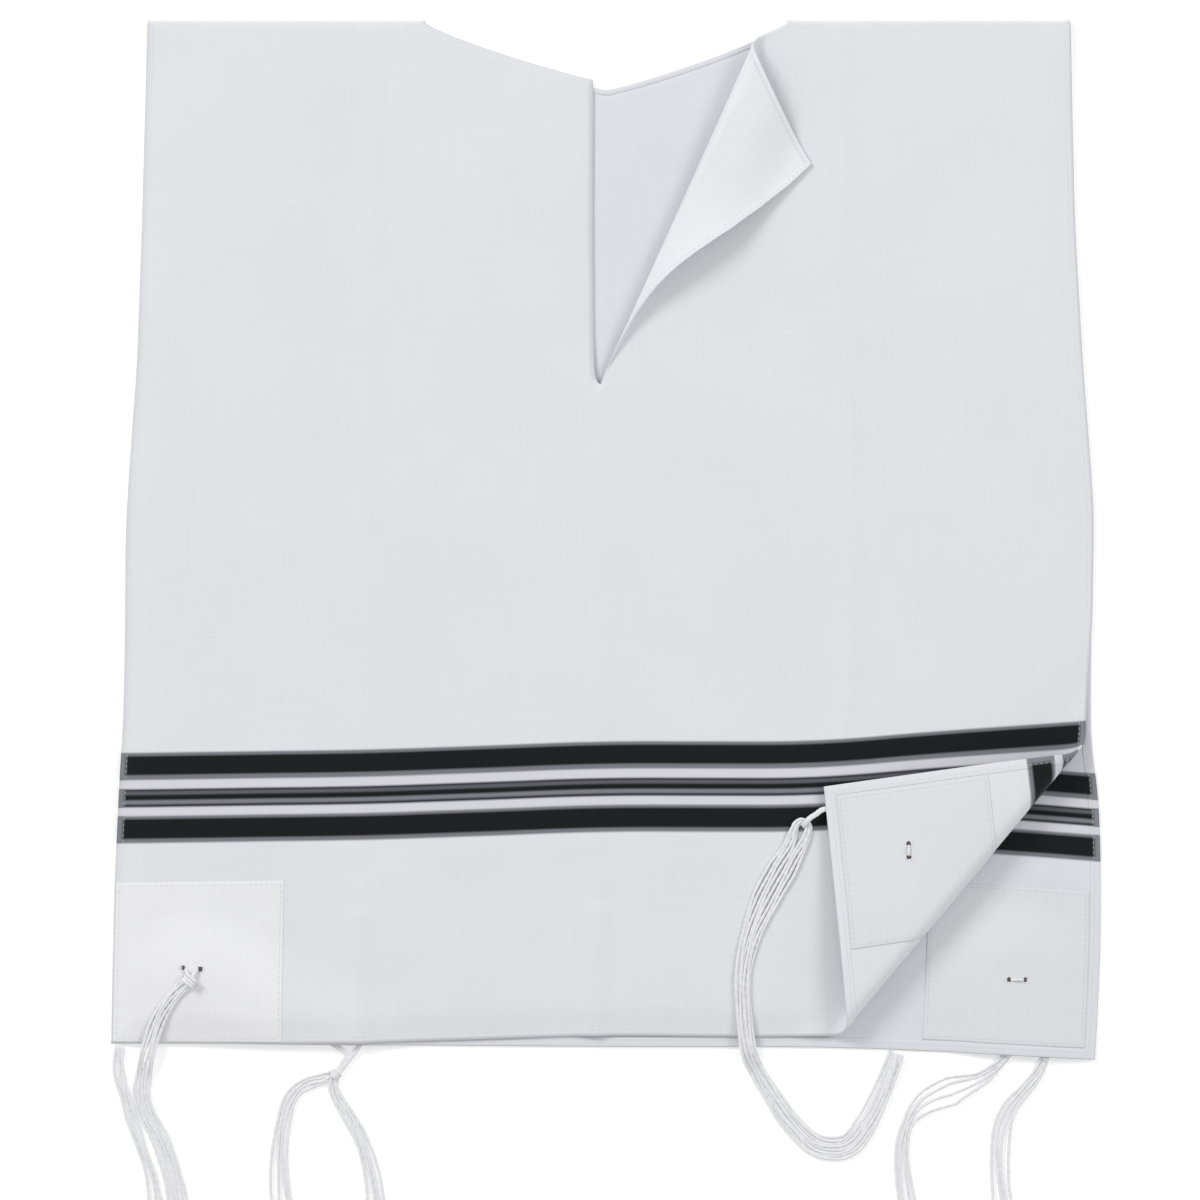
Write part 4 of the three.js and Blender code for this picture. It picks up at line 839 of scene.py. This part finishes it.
# Corner patches. Squares of the same white wool with their edges turned under, sewn on round
# all four edges, so that the eyelets don't tear out.
PATCH_THICK = 0.14
PATCH_OVER = 0.04
PATCH_EDGE = 3.6
PATCH_EDGE_SHARE = 0.12
PATCH_SEAM = 1.9
PATCH_STEP = 0.95
PATCH_HOLE = 1.5
# Painted light and shade on the patches: a whiter copy of the wool for the front's outer side, a
# duller one for the inner sides.
OUTER_PATCH_LIT_WHITE = "#EDEDEF"
INNER_PATCH_SHADED_WHITE = "#E0E1E5"
PATCHES = [  # name, node, corner, sheet it is sewn to, u from, u to, v from, v to
    ("front_left_patch", "patch_front_left", "front_left", front_cloth, front_point, 1,
     0.6, 87, 0.6, 83),
    ("front_right_patch", "patch_front_right", "front_right", front_cloth, front_point, -1,
     417, 494.6, 5.4, 83),
    ("back_right_patch", "patch_back_right", "back_right", back_cloth, back_point, 1,
     412, 494.6, 5.4, 87)]

# The same wool without stripes, in two copies: whiter, with painted light, on the front's outer
# side, where it lies on several
# # layers, and duller, with painted shade, on the panels' inner sides.
lit_patch_wool = woven_wool("woven_white_wool_painted_light", OUTER_PATCH_LIT_WHITE, [])
shaded_patch_wool = woven_wool("woven_off_white_wool_painted_shade", INNER_PATCH_SHADED_WHITE, [])

for name, node, corner, carrier, point, side, u0, u1, v0, v1 in PATCHES:
    patch_cut = grid(*np.meshgrid(steps(u0, PATCH_STEP, u1), steps(v0, PATCH_STEP, v1),
                                  indexing="ij"))
    patch_shape = pierced(patch_cut, point, [corner], hole=PATCH_HOLE)

    def patch_point(u, v, share, point=point, side=side, box=(u0, u1, v0, v1)):
        """The panel's own surface moved out, thinner towards the patch's turned-under edges."""
        inward = np.minimum(np.minimum(u - box[0], box[1] - u), np.minimum(v - box[2], box[3] - v))
        full = PATCH_EDGE_SHARE + (1 - PATCH_EDGE_SHARE) * smooth(inward / PATCH_EDGE)
        return point(u, v, side * (CLOTH_HALF + PATCH_OVER + PATCH_THICK * full * share))

    low, high = (0, 1) if side > 0 else (1, 0)
    patch = new_piece(name, shell(patch_shape, patch_point, low, high),
                      lit_patch_wool if corner == "front_left" else shaded_patch_wool,
                      node)
    square = np.array([(u0, v0), (u1, v0), (u1, v1), (u0, v1), (u0, v0)], float)
    inset = square + PATCH_SEAM * np.array([(1, 1), (-1, 1), (-1, -1), (1, -1), (1, 1)])
    along = steps(0, 0.02, 4)
    path = np.stack([np.interp(along, range(5), inset[:, k]) for k in (0, 1)], -1)
    sewn = new_piece(name + "_stitches", stitches(
        path, point, side * (CLOTH_HALF + PATCH_OVER + PATCH_THICK), side),
        sewing_thread)

# Tassels. Each corner has a long loop of twisted wool strings through its two eyelets, tied in
# a knot, with eight free ends. They lie where they fell, over the front or on the surface.
STRING_HALF = 0.88
STRING_SIDES = 10
STRING_STEP = 0.9
STRING_PLIES = 2
STRING_PITCH = 8.5
STRING_GROOVE = 0.2
STRING_ROOM = 1.9
STRING_LIFT = 1.75
UNEVENNESS = 0.4
CORD_HALF = 1.5
CORD_HIGH = 0.8
CORD_LIES = 1.8
WINDING_PITCH = 1.7
WINDING_GROOVE = 0.16
FRONT_TOP = FRONT_MID + CLOTH_HALF
PATCH_LIES = FRONT_TOP + PATCH_OVER + PATCH_THICK
END_SPREAD = 0.25
CURVE_STEPS = 24
ARCH_REACH = 1.6
STRING_CLEAR = 0.1
SWAY = 0.28
KNOT_STRING = 1.1
KNOT_TURNS = 2.5
KNOT_STEPS = 90
BAR_HALF = (0.7, 0.5)
BAR_SHARE = 0.72
BAR_BEND = 0.12
LOOP_SLACK = 0.25
LOOP_HALF = (0.95, 0.8)
STRING_WHITE = "#ECECEF"


def curve_through(rows, count):
    """A smooth line through points, evenly spaced between them: Catmull and Rom's cubic."""
    rows = np.array(rows, float)
    ends = np.vstack([2 * rows[0] - rows[1], rows, 2 * rows[-1] - rows[-2]])
    t = np.linspace(0, len(rows) - 1, count)
    i = np.minimum(t.astype(int), len(rows) - 2)
    w = (t - i)[:, None]
    p0, p1, p2, p3 = (ends[i + k] for k in range(4))
    return (p1 + 0.5 * w * (p2 - p0) + w ** 2 * (p0 - 2.5 * p1 + 2 * p2 - 0.5 * p3)
            + w ** 3 * (1.5 * p1 - 0.5 * p0 - 1.5 * p2 + 0.5 * p3))


def strand(path, across, high, lobes, pitch, groove, sides=STRING_SIDES):
    """A twisted cord: an oval ring carried along a path, with lobes that turn once a pitch:
    its radius is one less groove times the squared sine of half the turned angle."""
    run = np.concatenate([[0], np.cumsum(np.linalg.norm(np.diff(path, axis=0), axis=1))])
    count = max(3, int(run[-1] / STRING_STEP))
    at = np.linspace(0, run[-1], count)
    path = np.stack([np.interp(at, run, path[:, k]) for k in range(3)], -1)
    ahead = np.gradient(path, axis=0)
    ahead /= np.maximum(np.linalg.norm(ahead, axis=1, keepdims=True), 1e-9)
    aside = np.stack([ahead[:, 1], -ahead[:, 0], 0 * at], -1)
    aside /= np.maximum(np.linalg.norm(aside, axis=1, keepdims=True), 1e-9)
    upright = np.cross(aside, ahead)
    angle = 2 * np.pi * np.arange(sides) / sides
    turned = lobes * angle[None, :] - 2 * np.pi * at[:, None] / pitch * lobes
    size = 1 - groove * np.sin(turned / 2) ** 2
    ends = np.minimum(1, 0.25 + np.minimum(at, run[-1] - at) / across)[:, None]
    points = (path[:, None, :]
              + (across * ends * size * np.cos(angle))[..., None] * aside[:, None, :]
              + (high * ends * size * np.sin(angle))[..., None] * upright[:, None, :])
    flat = np.stack([np.broadcast_to(angle, size.shape), np.broadcast_to(at[:, None], size.shape)],
                    -1)
    return tube_faces(points, flat)


def string(path, across=STRING_HALF, high=STRING_HALF):
    """One two-ply string along a path."""
    return strand(path, across, high, STRING_PLIES, STRING_PITCH, STRING_GROOVE)


def fan(rows, count, ends=None, parted=0):
    """Strings side by side along a middle line. Where they close up, each second one rides on
    its neighbours, and where they have room they lie unevenly apart. If the halves are parted,
    each string goes up one half, over an arch and down the other half."""
    spans = len(rows) - 1
    table = np.array(rows, float)
    fine = curve_through(table[:, :2], spans * CURVE_STEPS + 1)
    t = np.linspace(0, spans, len(fine))
    ahead = np.gradient(fine, axis=0)
    ahead /= np.linalg.norm(ahead, axis=1, keepdims=True)
    width = np.interp(t, range(spans + 1), table[:, 2])
    step = np.minimum(t.astype(int), spans - 1)
    lies = table[step, 3] + (table[step + 1, 3] - table[step, 3]) * smooth(t - step)
    paths = []
    for i in range(count):
        end = ends[i] if ends else 1 - END_SPREAD * ((3 * i) % 4) / spans
        kept = t <= end * spans
        pitch = width[kept] / (count - 1)
        spare = np.maximum(0, pitch - STRING_ROOM)
        wander = (UNEVENNESS * spare * np.sin(2.4 * i + 1.3 * t[kept])
                  + SWAY * np.sin(1.9 * i + 2.6 * t[kept]) * smooth(t[kept]))
        lane = i - (count - 1) / 2
        aside = lane * pitch + wander * np.minimum(1, t[kept] + (parted == 0))
        aside += np.sign(lane) * parted * (1 - smooth(t[kept] / ARCH_REACH))
        x = fine[kept, 0] + ahead[kept, 1] * aside
        y = fine[kept, 1] - ahead[kept, 0] * aside
        over = np.where(lies[kept] > 1.2, rise_at(x, y) * np.minimum(1, lies[kept] / FRONT_TOP), 0)
        rides = np.maximum(0, STRING_LIFT - pitch) * (i % 2)
        paths.append(np.stack([x, y, lies[kept] + over + STRING_HALF + STRING_CLEAR + rides], -1))
    if parted:
        turn = np.linspace(0, np.pi, 15)[1:-1, None]
        for i in range(count // 2):
            down = paths.pop(count - 1 - i)
            middle, half = (paths[i][0] + down[0]) / 2, (paths[i][0] - down[0]) / 2
            high = np.hypot(half[0], half[1]) * np.array([*-ahead[0], 0])
            arch = middle + half * np.cos(turn) + high * np.sin(turn)
            paths[i] = np.concatenate([paths[i][::-1], arch, down])
    return [string(path) for path in paths]


def knot(x, y, z, across, along, high, bearing):
    """A tied knot: two and a half turns of string wound round the strings, side by side."""
    turn = np.linspace(0, 2 * np.pi * KNOT_TURNS, KNOT_STEPS)
    ahead = np.array([np.sin(bearing), np.cos(bearing), 0])
    aside = np.array([ahead[1], -ahead[0], 0])
    reach = STRING_HALF * KNOT_STRING
    path = (np.array([x, y, z])
            + np.outer(np.linspace(-1, 1, KNOT_STEPS) * (along - reach), ahead)
            + np.outer(np.cos(turn) * (across - reach), aside)
            + np.outer(np.sin(turn) * (high - reach * 0.6), [0, 0, 1]))
    ball_turn = np.linspace(0, np.pi, 9)
    ring = np.linspace(0, 2 * np.pi, 16, endpoint=False)
    thick = np.maximum(np.sin(ball_turn), 0.05)[:, None]
    core = (np.array([x, y, z]) + (np.cos(ball_turn)[:, None, None] * along * 0.95) * ahead
            + (thick * np.cos(ring))[..., None] * aside * across * 0.8
            + (thick * np.sin(ring))[..., None] * np.array([0, 0, 1]) * high * 0.8)
    return [string(path, reach, reach),
            tube_faces(core, np.zeros(core.shape[:2] + (2,)))]


def flap_height(x, y, offset):
    """Height of the turned-up corner, offset from its middle towards its old outer side."""
    back = -past_fold(x, y)
    return (FRONT_MID + 2 * FOLD_ROLL - offset
            - (2 * FOLD_ROLL - FLAP_RESTS) * smooth(back / FLAP_SETTLES))


def eyelet_loop(corner, bar_height, out_height, head):
    """The strings' loop: a bar between the eyelets on the inner face, ends out to the head."""
    (x0, y0), (x1, y1) = EYELETS[corner]
    ends = np.array([(x0, y0), (x1, y1)])
    middle = ends.mean(0)
    places = [middle + (end - middle) * BAR_SHARE for end in ends]
    feet = [np.array([*place, out_height(*place)]) for place in places]
    tops = [np.array([*place, bar_height(*place)]) for place in places]
    path = curve_through([feet[0], (feet[0] + tops[0]) / 2,
                          tops[0] + (tops[1] - tops[0]) * BAR_BEND,
                          tops[1] + (tops[0] - tops[1]) * BAR_BEND,
                          (feet[1] + tops[1]) / 2, feet[1]], 60)
    forms = [string(path, *BAR_HALF)]
    for foot in feet:
        slack = (foot + head) / 2 + np.array([0, 0, LOOP_SLACK])
        forms.append(string(curve_through([foot, slack, head], 20), *LOOP_HALF))
    return forms


def wound_cord(rows):
    """The wound part of a tassel: strings with one of them wrapped round the rest."""
    path = curve_through([(row[0], row[1], row[2] if len(row) > 2 else CORD_LIES)
                          for row in rows], CURVE_STEPS * len(rows))
    return strand(path, CORD_HALF, CORD_HIGH, 1, WINDING_PITCH, WINDING_GROOVE, 14)


def between_panels(x, y):
    """Half way between the two panels."""
    return (BACK_MID + FRONT_MID) / 2 + rise_at(x, y)


# Twisted wool string, natural white: two plies whose grooves catch small shadows.
string_wool = plain_thread("twisted_wool_string", STRING_WHITE)

front_left_forms = [
    *eyelet_loop("front_left", between_panels,
                 lambda x, y: PATCH_LIES + 0.6 + rise_at(x, y),
                 np.array([-212, -227, 10.9])),
    *knot(-212, -227.6, 10.9, 4.4, 3, 2, np.radians(215)),
    *fan([(-212, -227.5, 5, PATCH_LIES), (-221, -236, 5.4, PATCH_LIES),
          (-228.5, -248, 6, PATCH_LIES), (-233.5, -264, 6.6, PATCH_LIES),
          (-236.5, -277, 7.2, 0), (-237.2, -286, 7.6, 0), (-234.3, -297, 7.8, 0),
          (-227, -311, 8, 0), (-221, -330, 8.8, 0), (-218, -354, 10.5, 0),
          (-221, -386, 14, 0), (-226, -424, 19, 0)], 5),
    *fan([(-248.6, -261.6, 4, 0), (-249.2, -270, 4.4, 0), (-248, -279, 4.4, 0),
          (-245.6, -288, 4.2, 0), (-242.8, -298, 4, 0), (-238, -312, 4.4, 0),
          (-232, -330, 5, 0), (-230, -354, 6, 0), (-235, -386, 8, 0),
          (-243, -424, 12, 0)], 3)]

back_left_forms = [
    *eyelet_loop("back_left", between_panels, lambda x, y: CORD_LIES,
                 np.array([-210, -229.5, CORD_LIES])),
    *knot(-210, -229.5, CORD_LIES, 4.6, 3.2, 1.5, np.radians(90)),
    *knot(-138.5, -275.6, CORD_LIES, 2.9, 2.9, 1.6, np.radians(230)),
    wound_cord([(-209, -230), (-200, -235.5), (-180, -244.5), (-158, -253), (-140, -260.5),
                (-133, -266), (-135.6, -271), (-139, -275.2)]),
    wound_cord([(-123.5, -256), (-127, -262), (-131.2, -267.6), (-134.6, -272), (-137.6, -276.2)]),
    *fan([(-138.8, -275.4, 3.2, 0), (-146, -278.4, 4.6, 0), (-153.5, -280.6, 5.5, 0),
          (-160, -286, 5.5, 0), (-164.4, -296, 6, 0), (-167, -315, 7.5, 0),
          (-165.5, -342, 10, 0), (-160, -368, 12, 0), (-157, -396, 17, 0)], 4),
    *fan([(-138.6, -276, 3.2, 0), (-139.4, -283, 3.8, 0), (-136.8, -290, 5, 0),
          (-131, -298.5, 6, 0), (-124.5, -312, 6, 0), (-118.5, -336, 8, 0),
          (-117, -364, 11, 0), (-121, -400, 16, 0)], 4)]

front_right_forms = [
    *eyelet_loop("front_right", lambda x, y: flap_height(x, y, -1.0) + 0.55,
                 lambda x, y: flap_height(x, y, CLOTH_HALF) - 1.0,
                 np.array([149.4, -161, 9.8])),
    *knot(149.4, -161, 9.8, 3.2, 3.6, 1.6, np.radians(300)),
    wound_cord([(149, -160, 9.8), (141, -156, 8.8), (128, -149.5, 7), (112, -141, 6.4),
                (105, -143.6, 8.2), (101, -146.6, 8.3), (98.9, -150.2, 6.2)]),
    *fan([(98.4, -150.6, 5.8, FRONT_TOP), (95.4, -159, 9.5, FRONT_TOP),
          (88.5, -171, 13.5, FRONT_TOP), (80, -187, 13, FRONT_TOP),
          (72.8, -204, 9, FRONT_TOP), (69.2, -221, 7, FRONT_TOP),
          (68.6, -239, 6.8, FRONT_TOP), (71, -262, 6.8, FRONT_TOP), (76.4, -275, 7, 0),
          (83.5, -287, 8, 0), (93, -300, 9, 0), (106, -312, 10.5, 0), (121, -312.5, 11, 0),
          (131, -301, 10.5, 0), (138.5, -286.5, 8.5, 0), (146.8, -264.6, 7, 0)], 8,
         [1, 0.84, 1, 0.86, 1, 0.99, 1, 1], 1.8)]

back_right_forms = [
    *eyelet_loop("back_right", lambda x, y: 1.9 + rise_at(x, y),
                 lambda x, y: CORD_LIES, np.array([207.9, -228.5, CORD_LIES])),
    *knot(207.9, -228.5, CORD_LIES, 4.6, 3.2, 1.5, np.radians(180)),
    *knot(222.4, -266.5, CORD_LIES, 2.6, 2.8, 1.6, np.radians(180)),
    *knot(203.9, -265, CORD_LIES, 2.6, 2.8, 1.6, np.radians(200)),
    wound_cord([(208.2, -229), (213.5, -242), (219, -254), (222.4, -266.5)]),
    wound_cord([(207.6, -229), (205, -242), (204.5, -254), (203.9, -265)]),
    *fan([(222.6, -266, 3, 0), (219, -275, 4.2, 0), (211.6, -284, 5.5, 0),
          (203.8, -294, 7.5, 0), (199.4, -309, 8.5, 0), (200, -334, 8.5, 0),
          (206, -362, 11, 0), (209, -398, 17, 0)], 4),
    *fan([(204.2, -264.5, 3, 0), (197.8, -272, 3.4, 0), (188.5, -278.5, 7, 0),
          (174.5, -283.5, 14.5, 0), (161, -290, 10, 0), (152.5, -301, 5, 0),
          (149.5, -318, 6, 0), (152.5, -345, 9, 0), (160, -384, 15, 0)], 4)]
for corner, forms in (("front_left", front_left_forms), ("back_left", back_left_forms),
                      ("front_right", front_right_forms), ("back_right", back_right_forms)):
    new_piece(corner + "_tassel", join(forms), string_wool, "tassel_" + corner)

# Eyelets. Each hole is overcast with close radial stitches of sewing thread that hold the layers
# # together, and shows dark inside: painted shade, a dark lens under the cloth. The back left
# corner's two are covered by the front.
RING_MIDDLE = 1.75
RING_HALF = 0.45
RING_RIDGES = 18
RING_STEPS = 72
RING_SIDES = 10
RIDGE_HIGH = 0.16
RING_FLAT = 0.55
SHADE_LENS_SHAPE = [  # distance from the middle, height from the cloth's face
    (0.05, -0.3), (0.9, -0.28), (1.5, -0.25), (1.5, -0.55), (0.9, -0.6), (0.05, -0.6)]
# Painted shade inside the holes.
HOLE_PAINTED_SHADE = "#5C5752"


def eyelet(x, y, height):
    """A ring of overcast stitches: a flat torus whose thickness swells once a stitch."""
    turn = np.linspace(0, 2 * np.pi, RING_STEPS, endpoint=False)
    round_it = np.linspace(0, 2 * np.pi, RING_SIDES, endpoint=False)
    size = RING_HALF * (1 + RIDGE_HIGH * np.cos(RING_RIDGES * turn))[:, None]
    reach = RING_MIDDLE + size * np.cos(round_it)
    place_x = x + reach * np.cos(turn)[:, None]
    place_y = y + reach * np.sin(turn)[:, None]
    points = np.stack([place_x, place_y, height(place_x, place_y)
                       + RING_FLAT * size * np.sin(round_it) + 0 * place_x], -1)
    index = np.arange(RING_STEPS * RING_SIDES).reshape(RING_STEPS, RING_SIDES)
    over, ahead = np.roll(index, -1, 1), np.roll(index, -1, 0)
    faces = np.stack([index, ahead, np.roll(ahead, -1, 1), over], -1).reshape(-1, 4)
    return points.reshape(-1, 3), faces, np.zeros((index.size, 2))


def hole(x, y, height):
    """Painted shade of a hole: a dark shallow lens just under the cloth's face."""
    ring = np.linspace(0, 2 * np.pi, 16, endpoint=False)
    reach, depth = np.array(SHADE_LENS_SHAPE).T[..., None]
    place_x, place_y = x + reach * np.cos(ring), y + reach * np.sin(ring)
    points = np.stack([place_x, place_y, height(place_x, place_y) + depth], -1)
    return tube_faces(points, np.zeros(points.shape[:2] + (2,)))


# Painted shade for the inside of a hole: the wool as it looks in shade, matt, dark and a little
# brown.
painted_hole_shade = plain_thread("painted_shade_wool_hole", HOLE_PAINTED_SHADE)

EYELET_FACES = [
    ("front_left", lambda x, y: PATCH_LIES + rise_at(x, y)),
    ("front_right", lambda x, y: flap_height(x, y, -CLOTH_HALF - PATCH_OVER - PATCH_THICK)),
    ("back_right", lambda x, y: BACK_MID + CLOTH_HALF + PATCH_OVER + PATCH_THICK
     + rise_at(x, y))]
for corner, height in EYELET_FACES:
    for ending, form, material in (("_eyelets", eyelet, sewing_thread),
                                   ("_eyelet_hole_shade", hole, painted_hole_shade)):
        new_piece(corner + ending, join([form(x, y, height) for x, y in EYELETS[corner]]),
                  material)
